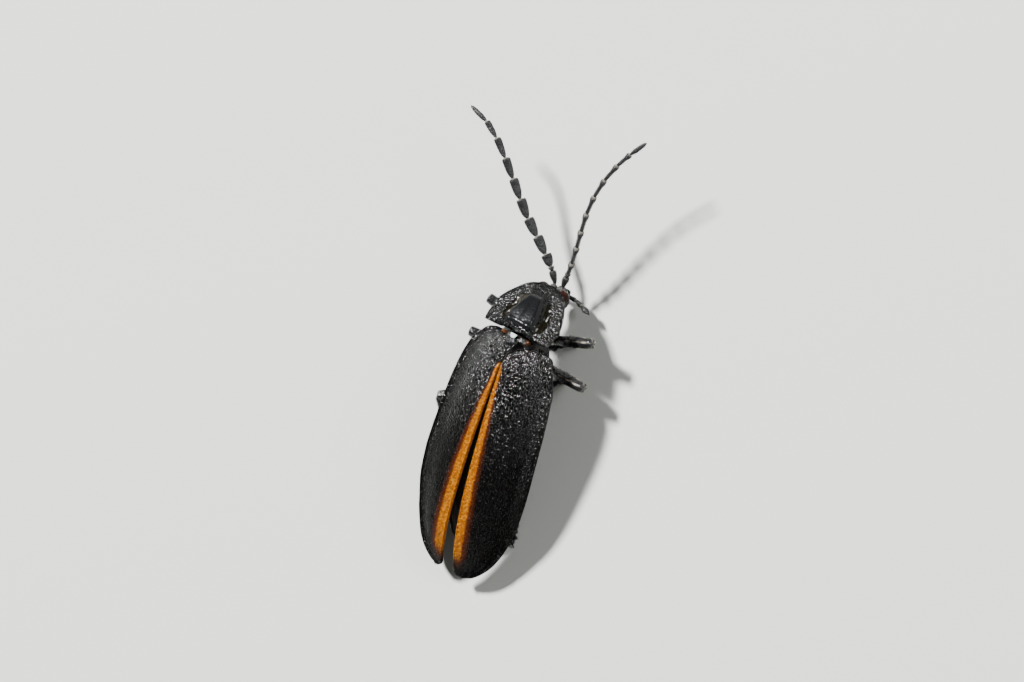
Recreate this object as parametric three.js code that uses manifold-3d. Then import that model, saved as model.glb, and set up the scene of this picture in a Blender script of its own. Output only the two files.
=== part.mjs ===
import * as THREE from 'three';
import { mergeVertices } from 'three/addons/utils/BufferGeometryUtils.js';
import Module from 'manifold-3d';

// A black firefly with amber stripes along its suture, life size, standing on six feet.
// Millimetres. The floor is z = 0, the head points along +Y and the beetle's right is +X.
// The body's own frame has its origin at the apex of the scutellum, with y forward along
// the body and z up through the back. It is set on the legs by a pitch and a lift.

const wasm = await Module();
wasm.setup();

// Stance
const PITCH = THREE.MathUtils.degToRad(8);
const STANCE_LIFT = 3.0;
const REAR_TURN = THREE.MathUtils.degToRad(-2.55);
const ELYTRON_OPENING = THREE.MathUtils.degToRad(1.65);
const ELYTRON_HINGE = new THREE.Vector3(0.45, 0.1, 0);
const GAP = 0.1;
const SMALLEST_EDGE = 0.002;

// Wing cases, along y from the shoulder to the tip
const ELYTRON_FRONT = 0.36;
const ELYTRON_TIP = -8.38;
const ELYTRON_DROP = 0.75;
const ELYTRON_THICK = 0.42;
const FLANGE_WIDTH = 0.23;
const FLANGE_THICK = 0.2;

// Hind wings folded under the wing cases
const WING_ROOT = -0.9;
const WING_TIP = -7.15;
const WING_THICK = 0.35;
const VEIN_HEIGHT = 0.05;

// Neck shield, in its own sloping plane: a across, b forward and down, h out of the plane
const SHIELD_LENGTH = 2.04;
const SHIELD_SLOPE = THREE.MathUtils.degToRad(43.8);
const SHIELD_HIND = new THREE.Vector3(0, 0.77, -0.29);
const SHIELD_THICK = 0.28;
const SHIELD_DISC_HEIGHT = 0.26;
const SHIELD_ARCH = 0.12;

// Head
const HEAD_CENTRE = new THREE.Vector3(0, 1.72, -2.12);
const HEAD_HALF = new THREE.Vector3(0.52, 0.42, 0.5);
const EYE_CENTRE = new THREE.Vector3(0.41, 1.95, -1.93);
const EYE_RADIUS = 0.24;
const SOCKET = new THREE.Vector3(0.17, 2.14, -2.18);
const SOCKET_DEPTH = 0.2;
const NECK_HALF = 0.42;
const NECK_TOP = -1.68;
const NECK_BOTTOM = -2.5;
const MUZZLE_CENTRE = new THREE.Vector3(0, 1.86, -2.52);
const MUZZLE_HALF = new THREE.Vector3(0.26, 0.22, 0.2);
const MOUTH_CENTRE = new THREE.Vector3(0, 2.12, -2.62);
const MOUTH_SIZE = [0.7, 0.5, 0.035];
const MOUTH_TILT = -0.5;

// Legs: thickness halves of the limbs
const FEMUR_HALF = 0.25;
const TIBIA_HALF = 0.21;
const TARSUS_HALF = 0.2;
const SOLE_DEPTH = 0.05;

// Antennae: eleven segments, the second one short
const SEGMENT_LENGTHS = [0.42, 0.14, 0.45, 0.67, 0.67, 0.7, 0.73, 0.74, 0.73, 0.65, 0.78];
const ANTENNA_WIDTH = 0.47;
const ANTENNA_THICK = 0.4;

// Colours of the real parts
const finish = (colour, roughness) =>
  new THREE.MeshStandardMaterial({ color: colour, roughness, metalness: 0 });
const SHELL_BLACK = finish(0x1a1a1c, 0.45);
const SHIELD_GREY = finish(0x2b2b2f, 0.4);
const BODY_BLACK = finish(0x161517, 0.6);
const LEG_BLACK = finish(0x202024, 0.35);
const FEELER_BLACK = finish(0x1c1c1e, 0.7);
const EYE_BROWN = finish(0x3a1f18, 0.15);
const WING_SMOKE = finish(0x3a3632, 0.4);

// A smooth curve through stations, given as [position, value] pairs in rising order
function profile(stations) {
  const pairs = [...stations].sort((one, other) => one[0] - other[0]);
  const slopes = pairs.map((pair, i) => {
    if (i === 0 || i === pairs.length - 1) return 0;
    const before = (pair[1] - pairs[i - 1][1]) / (pair[0] - pairs[i - 1][0]);
    const after = (pairs[i + 1][1] - pair[1]) / (pairs[i + 1][0] - pair[0]);
    return before * after <= 0 ? 0 : (2 * before * after) / (before + after);
  });
  const last = pairs.length - 1;
  slopes[0] = (pairs[1][1] - pairs[0][1]) / (pairs[1][0] - pairs[0][0]);
  slopes[last] = (pairs[last][1] - pairs[last - 1][1]) / (pairs[last][0] - pairs[last - 1][0]);
  return (at) => {
    const where = THREE.MathUtils.clamp(at, pairs[0][0], pairs[last][0]);
    let i = 0;
    while (i < last - 1 && where > pairs[i + 1][0]) i += 1;
    const span = pairs[i + 1][0] - pairs[i][0];
    const t = (where - pairs[i][0]) / span;
    return (2 * t ** 3 - 3 * t ** 2 + 1) * pairs[i][1]
      + (t ** 3 - 2 * t ** 2 + t) * span * slopes[i]
      + (-2 * t ** 3 + 3 * t ** 2) * pairs[i + 1][1]
      + (t ** 3 - t ** 2) * span * slopes[i + 1];
  };
}

const bump = (value, centre, width) => Math.exp(-(((value - centre) / width) ** 2));
const steps = (count) => Array.from({ length: count + 1 }, (_, i) => i / count);
const easeEnds = (t) => t - Math.sin(2 * Math.PI * t) * 0.09;

// A closed body from rings of points, with the two end rings capped by the given triangles
function ringBody(rings, capTriangles) {
  const size = rings[0].length;
  const positions = rings.flat().flatMap((point) => point.toArray());
  const index = [];
  for (let r = 0; r < rings.length - 1; r += 1) {
    for (let k = 0; k < size; k += 1) {
      const a = r * size + k;
      const b = r * size + ((k + 1) % size);
      index.push(a, b, b + size, a, b + size, a + size);
    }
  }
  capTriangles(positions, index, 0, size, true);
  capTriangles(positions, index, (rings.length - 1) * size, size, false);
  const geometry = new THREE.BufferGeometry();
  geometry.setAttribute('position', new THREE.Float32BufferAttribute(positions, 3));
  geometry.setIndex(index);
  return facingOut(geometry);
}

// Turns the faces round where the body would be inside out
function facingOut(geometry) {
  const place = geometry.attributes.position;
  const index = geometry.index.array;
  const corner = (i) => new THREE.Vector3().fromBufferAttribute(place, index[i]);
  let volume = 0;
  for (let i = 0; i < index.length; i += 3) {
    volume += corner(i).dot(corner(i + 1).cross(corner(i + 2)));
  }
  if (volume < 0) geometry.setIndex([...index].reverse());
  return geometry;
}

function fanCap(positions, index, start, size, first) {
  const centre = new THREE.Vector3();
  for (let k = 0; k < size; k += 1) {
    centre.add(new THREE.Vector3().fromArray(positions, (start + k) * 3));
  }
  centre.divideScalar(size);
  const middle = positions.length / 3;
  positions.push(...centre.toArray());
  for (let k = 0; k < size; k += 1) {
    const a = start + k;
    const b = start + ((k + 1) % size);
    if (first) index.push(middle, b, a);
    else index.push(middle, a, b);
  }
}

function stripCap(positions, index, start, size, first) {
  for (let k = 0; k < size / 2 - 1; k += 1) {
    const top = start + k;
    const under = start + size - 1 - k;
    if (first) index.push(top, under, top + 1, top + 1, under, under - 1);
    else index.push(top, top + 1, under, top + 1, under - 1, under);
  }
}

// A plate from a top and a bottom surface over the same grid of across and along
function plate(across, along, top, bottom) {
  const rings = steps(along).map((v) => [
    ...steps(across).map((u) => top(u, easeEnds(v))),
    ...steps(across).reverse().map((u) => bottom(u, easeEnds(v))),
  ]);
  return ringBody(rings, stripCap);
}

// A limb along joints: at each of its stops it has an oval section, square to the path.
// stops are [t, half width, half height]; broad is the width direction.
function limb(path, stops, broad, sides, grow = 0) {
  const rings = stops.map(([t, halfWidth, halfHeight]) => {
    const centre = path.getPoint(THREE.MathUtils.clamp(t, 0, 1));
    const along = path.getTangent(THREE.MathUtils.clamp(t, 0, 1));
    const height = new THREE.Vector3().crossVectors(along, broad).normalize();
    const width = new THREE.Vector3().crossVectors(height, along).normalize();
    return steps(sides).slice(0, -1).map((k) => {
      const angle = (k + 0.5 / sides) * 2 * Math.PI;
      return centre.clone()
        .addScaledVector(width, Math.cos(angle) * (halfWidth + grow))
        .addScaledVector(height, Math.sin(angle) * (halfHeight + grow));
    });
  });
  if (grow > 0) {
    const push = (ring, t, way) => {
      const along = path.getTangent(t).multiplyScalar(way * grow);
      return ring.map((point) => point.clone().add(along));
    };
    rings[0] = push(rings[0], 0, -1);
    rings[rings.length - 1] = push(rings[rings.length - 1], 1, 1);
  }
  return ringBody(rings, fanCap);
}

// Joining and cutting of closed bodies
function toSolid(geometry) {
  const bare = new THREE.BufferGeometry();
  bare.setAttribute('position', geometry.attributes.position.clone());
  if (geometry.index) bare.setIndex(geometry.index.clone());
  const merged = mergeVertices(bare, 1e-5);
  return new wasm.Manifold(new wasm.Mesh({
    numProp: 3,
    vertProperties: new Float32Array(merged.attributes.position.array),
    triVerts: new Uint32Array(merged.index.array),
  }));
}

function toGeometry(solid) {
  const pieces = solid.decompose();
  const largest = pieces.reduce((best, piece) => (piece.volume() > best.volume() ? piece : best));
  const mesh = largest.getMesh();
  const geometry = new THREE.BufferGeometry();
  geometry.setAttribute('position', new THREE.Float32BufferAttribute(mesh.vertProperties, 3));
  geometry.setIndex([...mesh.triVerts]);
  return withoutSlivers(geometry);
}

// Cuts leave corners a hair apart; these are made one corner, and faces with no area go
function withoutSlivers(geometry) {
  const merged = mergeVertices(geometry, SMALLEST_EDGE);
  const corners = merged.index.array;
  const kept = [];
  for (let i = 0; i < corners.length; i += 3) {
    const [a, b, c] = [corners[i], corners[i + 1], corners[i + 2]];
    if (a !== b && b !== c && c !== a) kept.push(a, b, c);
  }
  merged.setIndex(kept);
  return merged;
}

const joined = (...bodies) =>
  toGeometry(bodies.map(toSolid).reduce((sum, body) => sum.add(body)));
const cutBy = (body, ...cutters) =>
  toGeometry(cutters.map(toSolid).reduce((rest, cutter) => rest.subtract(cutter), toSolid(body)));
const moved = (geometry, matrix) => facingOut(geometry.clone().applyMatrix4(matrix));

const mirrorX = (point) => new THREE.Vector3(-point.x, point.y, point.z);
const sideOf = { left: -1, right: 1 };

// Frames: body frame to floor, rear body inside it, and each opened wing case
const bodyMatrix = new THREE.Matrix4().makeTranslation(0, 0, STANCE_LIFT)
  .multiply(new THREE.Matrix4().makeRotationX(PITCH));
const rearMatrix = bodyMatrix.clone().multiply(new THREE.Matrix4().makeRotationZ(REAR_TURN));
const openMatrix = (side) => {
  const hinge = new THREE.Vector3(side * ELYTRON_HINGE.x, ELYTRON_HINGE.y, 0);
  return rearMatrix.clone()
    .multiply(new THREE.Matrix4().makeTranslation(hinge.x, hinge.y, 0))
    .multiply(new THREE.Matrix4().makeRotationZ(side * ELYTRON_OPENING))
    .multiply(new THREE.Matrix4().makeTranslation(-hinge.x, -hinge.y, 0));
};

// Wing case: its plan, its height over the grid, and the shell
const elytronOuter = profile([[0.36, 0.95], [0.23, 1.3], [-0.03, 1.55], [-0.4, 1.74], [-1.1, 1.9],
  [-2.5, 2.0], [-4.4, 2.03], [-5.4, 1.97], [-6.4, 1.77], [-7.1, 1.54], [-7.6, 1.29], [-8.0, 0.98],
  [-8.25, 0.68], [-8.38, 0.42]]);
const elytronInner = profile([[0.36, 0.5], [0.2, 0.28], [0.0, 0.07], [-0.3, 0.05], [-7.2, 0.05],
  [-7.9, 0.06], [-8.2, 0.09], [-8.38, 0.22]]);
const backLine = profile([[0.36, -0.42], [0.2, -0.2], [0, -0.02], [-0.5, 0.12], [-1.5, 0.15],
  [-3, 0.11], [-4.5, 0], [-6, -0.2], [-7.4, -0.58], [-7.9, -0.8], [-8.38, -1.07]]);
const dropShare = profile([[0.36, 0.35], [0, 0.8], [-1, 1], [-6.2, 0.95], [-7.2, 0.75],
  [-7.9, 0.4], [-8.38, 0.1]]);

function elytronTop(x, y) {
  const outer = elytronOuter(y);
  const gutter = Math.max(outer - FLANGE_WIDTH, 0.3);
  const inside = Math.min(x / gutter, 1);
  const beyond = Math.max(0, (x - gutter) / FLANGE_WIDTH);
  const fall = 0.92 * inside ** 2.4 + 0.08 * beyond;
  return backLine(y) - ELYTRON_DROP * dropShare(y) * fall;
}

function elytron(side, grow = 0) {
  const spot = (u, v) => {
    const y = THREE.MathUtils.lerp(ELYTRON_FRONT + grow, ELYTRON_TIP - grow, v);
    const inner = elytronInner(y) - grow;
    const outer = elytronOuter(y) + grow;
    return [THREE.MathUtils.lerp(inner, outer, u), y];
  };
  const thickness = (x, y) => {
    const edge = THREE.MathUtils.smoothstep(x, elytronOuter(y) - 2 * FLANGE_WIDTH, elytronOuter(y));
    return THREE.MathUtils.lerp(ELYTRON_THICK, FLANGE_THICK, edge);
  };
  const top = (u, v) => {
    const [x, y] = spot(u, v);
    return new THREE.Vector3(side * x, y, elytronTop(Math.max(x, 0), y) + grow);
  };
  const bottom = (u, v) => {
    const [x, y] = spot(u, v);
    return new THREE.Vector3(side * x, y, elytronTop(Math.max(x, 0), y) - thickness(x, y) - grow);
  };
  return moved(plate(12, 26, top, bottom), openMatrix(side));
}

// Hind wing: a folded blade under its case, with its main veins raised in its own surface
const wingOuter = profile([[-0.9, 0.9], [-2, 1.3], [-4.5, 1.35], [-5.8, 1.1], [-6.6, 0.7],
  [-7.0, 0.35], [-7.15, 0.16]]);
const VEIN_PLACES = [0.22, 0.5, 0.78];

function hindWing(side, grow = 0) {
  const spot = (u, v) => {
    const y = THREE.MathUtils.lerp(WING_ROOT + grow, WING_TIP - grow, v);
    return [THREE.MathUtils.lerp(0.05 - grow, wingOuter(y) + grow, u), y];
  };
  const under = (x, y) => elytronTop(Math.max(x, 0), y) - ELYTRON_THICK - GAP - VEIN_HEIGHT;
  const top = (u, v) => {
    const [x, y] = spot(u, v);
    const ridge = VEIN_PLACES.reduce((sum, place) => sum + bump(u, place, 0.05), 0);
    return new THREE.Vector3(side * x, y, under(x, y) + VEIN_HEIGHT * ridge + grow);
  };
  const bottom = (u, v) => {
    const [x, y] = spot(u, v);
    return new THREE.Vector3(side * x, y, under(x, y) - WING_THICK - grow);
  };
  return moved(plate(14, 9, top, bottom), rearMatrix);
}

// Neck shield: outline half width along b, raised disc with a dent each side, swollen rim
const shieldHalf = profile([[0, 1.29], [0.26, 1.35], [0.7, 1.34], [1.1, 1.2], [1.45, 1.0],
  [1.75, 0.77], [1.93, 0.52], [2.02, 0.24]]);
const discHalf = profile([[0, 0.58], [0.5, 0.55], [1.1, 0.4], [1.5, 0.28], [2.04, 0.2]]);

function shieldPoint(a, b, h) {
  const forward = new THREE.Vector3(0, Math.cos(SHIELD_SLOPE), -Math.sin(SHIELD_SLOPE));
  const out = new THREE.Vector3(0, Math.sin(SHIELD_SLOPE), Math.cos(SHIELD_SLOPE));
  return SHIELD_HIND.clone().add(new THREE.Vector3(a, 0, 0))
    .addScaledVector(forward, b).addScaledVector(out, h);
}

function shieldHeight(a, b) {
  const half = shieldHalf(b);
  const across = Math.min(Math.abs(a) / half, 1);
  const along = b / SHIELD_LENGTH;
  const arch = SHIELD_ARCH * Math.sin(Math.PI * THREE.MathUtils.clamp(along, 0, 1))
    * (1 - 0.5 * across ** 2);
  const onDisc = 1 - THREE.MathUtils.smoothstep(Math.abs(a), discHalf(b) - 0.14, discHalf(b) + 0.14);
  const lengthwise = THREE.MathUtils.smoothstep(b, 0.08, 0.3)
    * (1 - THREE.MathUtils.smoothstep(b, 1.2, 1.7));
  const dent = bump(Math.abs(a), discHalf(b) + 0.2, 0.16) * bump(b, 0.75, 0.5);
  return arch + SHIELD_DISC_HEIGHT * onDisc * lengthwise - 0.07 * dent;
}

function shield(grow = 0) {
  const spot = (u, v) => {
    const b = THREE.MathUtils.lerp(-grow, 2.03 + grow, v);
    const a = (2 * u - 1) * (shieldHalf(b) + grow);
    const corner = 0.05 * (1 - v) ** 6 * Math.abs(2 * u - 1) ** 4;
    return [a, b - corner];
  };
  const top = (u, v) => {
    const [a, b] = spot(u, v);
    return shieldPoint(a, b, shieldHeight(a, b) + grow);
  };
  const bottom = (u, v) => {
    const [a, b] = spot(u, v);
    const inner = shieldHeight(a * 0.9, b);
    return shieldPoint(a, b, inner - SHIELD_THICK - grow);
  };
  return moved(plate(16, 15, top, bottom), bodyMatrix);
}

// Trunk pieces: rings across y, each an oval with its own half width, top and bottom
function trunk(stations, { half, top, bottom, sides = 20, square = 2.3, notch = () => 0 }) {
  const rings = stations.map((y) => steps(sides).slice(0, -1).map((k) => {
    const angle = k * 2 * Math.PI;
    const round = (value) => Math.sign(value) * Math.abs(value) ** (2 / square);
    const shrink = 1 - notch(y);
    const middle = (top(y) + bottom(y)) / 2;
    const rise = (top(y) - bottom(y)) / 2;
    return new THREE.Vector3(
      half(y) * shrink * round(Math.cos(angle)), y,
      middle + rise * shrink * round(Math.sin(angle)),
    );
  }));
  return ringBody(rings, fanCap);
}

// Middle and hind thorax, which carries the wings and four of the legs
const thoraxHalf = profile([[0.6, 0.62], [0.4, 0.7], [0, 0.88], [-0.6, 1.1], [-1.2, 1.25], [-1.95, 1.3]]);
const thoraxTop = profile([[0.6, -0.42], [0.35, -0.3], [0, -0.25], [-0.3, -0.35], [-0.9, -0.5],
  [-1.95, -0.6]]);
const thoraxBottom = profile([[0.6, -1.5], [0.2, -1.72], [-0.5, -1.92], [-1.95, -1.95]]);
const thoraxBody = (grow = 0) => moved(
  trunk([0.6 + grow, 0.5, 0.3, 0, -0.4, -0.9, -1.4, -1.95 - grow], {
    half: (y) => thoraxHalf(y) + grow,
    top: (y) => thoraxTop(y) + grow,
    bottom: (y) => thoraxBottom(y) - grow,
    square: 2.3,
  }), rearMatrix,
);

// Front thorax under the neck shield, which carries the head and the front legs
const collarHalf = profile([[0.7, 0.85], [1.0, 0.9], [1.3, 0.75], [1.5, 0.55]]);
const collarTop = profile([[0.7, -0.52], [1.5, -1.32]]);
const collarBottom = profile([[0.7, -1.7], [1.1, -1.98], [1.5, -2.2]]);
const collarBody = (grow = 0) => moved(
  trunk([0.7 - grow, 0.85, 1.05, 1.25, 1.4, 1.5 + grow], {
    half: (y) => collarHalf(y) + grow,
    top: (y) => collarTop(y) + grow,
    bottom: (y) => collarBottom(y) - grow,
  }), bodyMatrix,
);

// Abdomen: overlapping rings, each a step narrower at its front than the one before it ends
const ABDOMEN_FRONT = -2.05;
const ABDOMEN_END = -6.95;
const ABDOMEN_RINGS = 7;
const abdomenHalf = profile([[-2.05, 1.28], [-3.5, 1.42], [-5, 1.32], [-6.1, 1.0], [-6.7, 0.62],
  [-6.95, 0.3]]);
const abdomenBottom = profile([[-2.05, -1.93], [-4, -1.87], [-6, -1.82], [-6.95, -1.7]]);
const abdomenTop = (y) => backLine(y) - ELYTRON_THICK - WING_THICK - 2 * GAP - 2 * VEIN_HEIGHT;

const RING_LENGTH = (ABDOMEN_END - ABDOMEN_FRONT) / ABDOMEN_RINGS;
const RING_LIP = 0.94;
const RING_NOTCH = 0.05;

function abdomenStations() {
  return steps(ABDOMEN_RINGS).slice(0, -1).flatMap((share) => {
    const start = ABDOMEN_FRONT + share * ABDOMEN_RINGS * RING_LENGTH;
    return [start, start + RING_LENGTH * 0.5, start + RING_LENGTH * RING_LIP];
  }).concat(ABDOMEN_END);
}

const abdomenBody = () => moved(
  trunk(abdomenStations(), {
    half: abdomenHalf,
    top: abdomenTop,
    bottom: abdomenBottom,
    square: 2.5,
    notch: (y) => {
      const within = ((y - ABDOMEN_FRONT) / RING_LENGTH) % 1;
      return RING_NOTCH * (1 - Math.min(within / RING_LIP, 1));
    },
  }), rearMatrix,
);

// Scutellum: a small three-cornered plate in the notch between the wing cases
const SCUTELLUM_APEX = 0.08;
const SCUTELLUM_FRONT = 0.46;
const SCUTELLUM_THICK = 0.3;
const scutellumHalf = profile([[0.08, 0.04], [0.25, 0.17], [0.4, 0.24], [0.46, 0.22]]);

function scutellum(grow = 0) {
  const spot = (u, v) => {
    const y = THREE.MathUtils.lerp(SCUTELLUM_APEX - grow, SCUTELLUM_FRONT + grow, v);
    return [(2 * u - 1) * (scutellumHalf(y) + grow), y];
  };
  const lid = (x, y) => -0.04 - 0.25 * y - 0.3 * x * x;
  const top = (u, v) => {
    const [x, y] = spot(u, v);
    return new THREE.Vector3(x, y, lid(x, y) + grow);
  };
  const bottom = (u, v) => {
    const [x, y] = spot(u, v);
    return new THREE.Vector3(x, y, lid(x, y) - SCUTELLUM_THICK - grow);
  };
  return moved(plate(6, 6, top, bottom), bodyMatrix);
}

// Head
function ellipsoid(centre, half, across = 16, down = 10) {
  const ball = new THREE.SphereGeometry(1, across, down);
  ball.rotateX(Math.PI / 2);
  ball.scale(half.x, half.y, half.z);
  ball.translate(centre.x, centre.y, centre.z);
  return ball;
}

const straight = (...points) => new THREE.CatmullRomCurve3(points, false, 'catmullrom', 0.5);
const lineTo = (from, to) => new THREE.LineCurve3(from, to);

function headBody() {
  const skull = ellipsoid(HEAD_CENTRE, HEAD_HALF, 22, 14);
  const neck = trunk([1.2, 1.35, 1.5, 1.68], {
    half: () => NECK_HALF, top: () => NECK_TOP, bottom: () => NECK_BOTTOM, sides: 14, square: 2,
  });
  const tubercles = ['left', 'right'].map((name) => {
    const root = new THREE.Vector3(sideOf[name] * SOCKET.x, SOCKET.y - SOCKET_DEPTH, SOCKET.z);
    const rim = new THREE.Vector3(sideOf[name] * SOCKET.x, SOCKET.y, SOCKET.z);
    return limb(lineTo(root, rim), [[0, 0.15, 0.15], [0.8, 0.14, 0.14], [1, 0.11, 0.11]],
      new THREE.Vector3(1, 0, 0), 10);
  });
  const muzzle = ellipsoid(MUZZLE_CENTRE, MUZZLE_HALF, 16, 10);
  const mouthLine = new THREE.BoxGeometry(...MOUTH_SIZE);
  mouthLine.rotateX(MOUTH_TILT);
  mouthLine.translate(...MOUTH_CENTRE.toArray());
  return cutBy(joined(skull, neck, muzzle, ...tubercles), mouthLine);
}

function eye(side, grow = 0) {
  const centre = side < 0 ? mirrorX(EYE_CENTRE) : EYE_CENTRE;
  const radius = EYE_RADIUS + grow;
  return ellipsoid(centre, new THREE.Vector3(radius, radius, radius * 1.08), 16, 10);
}

function palp(side, grow = 0) {
  const path = straight(
    new THREE.Vector3(side * 0.2, 1.78, -2.72), new THREE.Vector3(side * 0.5, 1.78, -2.72),
    new THREE.Vector3(side * 0.85, 1.72, -2.62), new THREE.Vector3(side * 1.27, 1.62, -2.5),
  );
  const stops = [[0, 0.09, 0.09], [0.3, 0.11, 0.11], [0.34, 0.09, 0.09], [0.58, 0.12, 0.12],
    [0.62, 0.09, 0.09], [0.8, 0.14, 0.13], [0.93, 0.09, 0.08], [1, 0.03, 0.03]];
  return limb(path, stops, new THREE.Vector3(0, 0, 1), 10, grow);
}

// Antennae: joints found by walking the segment lengths along a heading and a climb
const ANTENNA = {
  left: {
    heading: profile([[0, -20], [0.12, -41], [0.3, -45], [0.45, -36], [0.65, -37], [0.8, -47],
      [0.9, -63], [1, -75]]),
    climb: profile([[0, 12], [0.3, 9], [0.6, 10], [1, 3]]),
  },
  right: {
    heading: profile([[0, 14], [0.12, 12], [0.25, 7], [0.38, 7], [0.5, 12], [0.65, 20], [0.8, 31],
      [1, 40]]),
    climb: profile([[0, 14], [0.3, 14], [0.5, 9], [0.7, 2], [1, 0]]),
  },
};
const VIEW_SIDE = new THREE.Vector3(0.469, 0.310, 0.827);

function antennaJoints(name) {
  const { heading, climb } = ANTENNA[name];
  const total = SEGMENT_LENGTHS.reduce((sum, length) => sum + length);
  const start = new THREE.Vector3(sideOf[name] * SOCKET.x, SOCKET.y + GAP, SOCKET.z);
  const joints = [start];
  let walked = 0;
  SEGMENT_LENGTHS.forEach((length) => {
    const share = (walked + length / 2) / total;
    const turn = THREE.MathUtils.degToRad(heading(share));
    const rise = THREE.MathUtils.degToRad(climb(share));
    const step = new THREE.Vector3(
      Math.sin(turn) * Math.cos(rise), Math.cos(turn) * Math.cos(rise), Math.sin(rise),
    );
    joints.push(joints[joints.length - 1].clone().addScaledVector(step, length));
    walked += length;
  });
  return joints;
}

// One run of segments, each narrow at its root and broad at its end
function segmentRun(name, first, last, startGap) {
  const joints = antennaJoints(name);
  const taper = (i) => 1 - 0.45 * Math.max(0, (i - 4) / 6) ** 1.5;
  const rings = [];
  for (let i = first; i <= last; i += 1) {
    const from = joints[i];
    const to = joints[i + 1];
    const along = to.clone().sub(from).normalize();
    const faceOn = name === 'left'
      ? new THREE.Vector3().crossVectors(VIEW_SIDE, along).normalize()
      : VIEW_SIDE.clone().addScaledVector(along, -VIEW_SIDE.dot(along)).normalize();
    const edgeOn = new THREE.Vector3().crossVectors(along, faceOn).normalize();
    const half = (ANTENNA_WIDTH / 2) * taper(i);
    const thick = (ANTENNA_THICK / 2) * taper(i);
    const lastOne = i === SEGMENT_LENGTHS.length - 1;
    const stops = lastOne
      ? [[0.04, 0.62, 0.75], [0.35, 0.95, 1], [0.75, 0.7, 0.7], [1, 0.18, 0.2]]
      : [[0.04, 0.62, 0.75], [0.45, 0.85, 0.95], [0.86, 1, 1], [0.97, 0.72, 0.8]];
    stops.forEach(([t, wide, deep], place) => {
      const begin = i === first && place === 0 ? startGap / from.distanceTo(to) : 0;
      const centre = from.clone().lerp(to, Math.max(t, begin + 0.02));
      rings.push(steps(8).slice(0, -1).map((k) => {
        const angle = (k + 1 / 16) * 2 * Math.PI;
        return centre.clone()
          .addScaledVector(faceOn, Math.cos(angle) * half * wide)
          .addScaledVector(edgeOn, Math.sin(angle) * thick * deep);
      }));
    });
  }
  return moved(ringBody(rings, fanCap), bodyMatrix);
}

function scape(name) {
  const joints = antennaJoints(name);
  const path = new THREE.LineCurve3(joints[0], joints[1]);
  const root = limb(path, [[0, 0.12, 0.12], [0.3, 0.17, 0.17], [0.75, 0.2, 0.2], [1, 0.15, 0.15]],
    new THREE.Vector3(1, 0, 0), 10);
  const second = new THREE.LineCurve3(joints[1].clone().lerp(joints[2], -0.4), joints[2]);
  const bead = limb(second, [[0, 0.1, 0.1], [0.6, 0.17, 0.17], [1, 0.15, 0.15]],
    new THREE.Vector3(1, 0, 0), 10);
  return moved(joined(root, bead), bodyMatrix);
}

// Legs. anchor, hip and knee are in the body frame; ankle and toe are on the floor.
const point = (x, y, z) => new THREE.Vector3(x, y, z);
const LEGS = {
  front_left: {
    anchor: point(-0.38, 0.98, -1.7), hip: point(-0.45, 0.4, -2.12), knee: point(-2.05, 0.97, -1.5),
    ankle: [-1.3, 0.22], toe: [-2.1, -0.78],
  },
  front_right: {
    anchor: point(0.38, 0.98, -1.7), hip: point(0.45, 0.4, -2.12), knee: point(2.25, 1.11, -1.5),
    ankle: [1.0, 0.86], toe: [-0.1, 0.2],
  },
  middle_left: {
    anchor: point(-0.45, -0.35, -1.8), hip: point(-0.6, -0.6, -2.15), knee: point(-2.39, -0.39, -1.5),
    ankle: [-1.5, -1.05], toe: [-2.25, -2.1],
  },
  middle_right: {
    anchor: point(0.45, -0.35, -1.8), hip: point(0.55, -0.6, -2.15), knee: point(2.4, -0.44, -1.5),
    ankle: [1.0, -0.46], toe: [0.05, -1.35],
  },
  hind_left: {
    anchor: point(-0.6, -1.6, -1.8), hip: point(-0.85, -2.05, -2.1), knee: point(-2.77, -2.95, -1.35),
    ankle: [-2.22, -4.35], toe: [-2.45, -5.6],
  },
  hind_right: {
    anchor: point(0.55, -1.6, -1.8), hip: point(0.65, -2.1, -2.15), knee: point(0.95, -3.95, -2.12),
    ankle: [1.06, -5.3], toe: [1.22, -6.45],
  },
};

const onFloor = (spot) => spot.clone().applyMatrix4(bodyMatrix);

function coxa(leg, grow = 0) {
  const from = onFloor(leg.anchor);
  const to = onFloor(leg.hip);
  return limb(lineTo(from, to), [[0, 0.3, 0.3], [0.5, 0.3, 0.3], [0.85, 0.25, 0.25], [1, 0.16, 0.16]],
    point(1, 0, 0), 12, grow);
}

function femur(leg, grow = 0) {
  const hip = onFloor(leg.hip);
  const knee = onFloor(leg.knee);
  const half = FEMUR_HALF;
  const stops = [[0, 0.7 * half, 0.7 * half], [0.12, 0.85 * half, 0.85 * half], [0.45, half, half],
    [0.8, 0.95 * half, 0.95 * half], [0.95, 0.9 * half, 0.9 * half], [1, 0.62 * half, 0.62 * half]];
  return limb(lineTo(hip, knee), stops, point(0, 0, 1), 12, grow);
}

function tibia(leg, grow = 0) {
  const knee = onFloor(leg.knee);
  const ankle = point(leg.ankle[0], leg.ankle[1], TARSUS_HALF);
  const half = TIBIA_HALF;
  const stops = [[0, 0.8 * half, 0.8 * half], [0.25, 0.92 * half, 0.92 * half], [0.9, half, half],
    [1, 0.85 * half, 0.85 * half]];
  return limb(lineTo(knee, ankle), stops, point(0.3, 1, 0.1), 10, grow);
}

const TARSUS_JOINTS = [0, 0.3, 0.52, 0.68, 0.84, 1];
const TARSUS_WIDTHS = [0.95, 0.95, 1.0, 1.2, 0.75];

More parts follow.
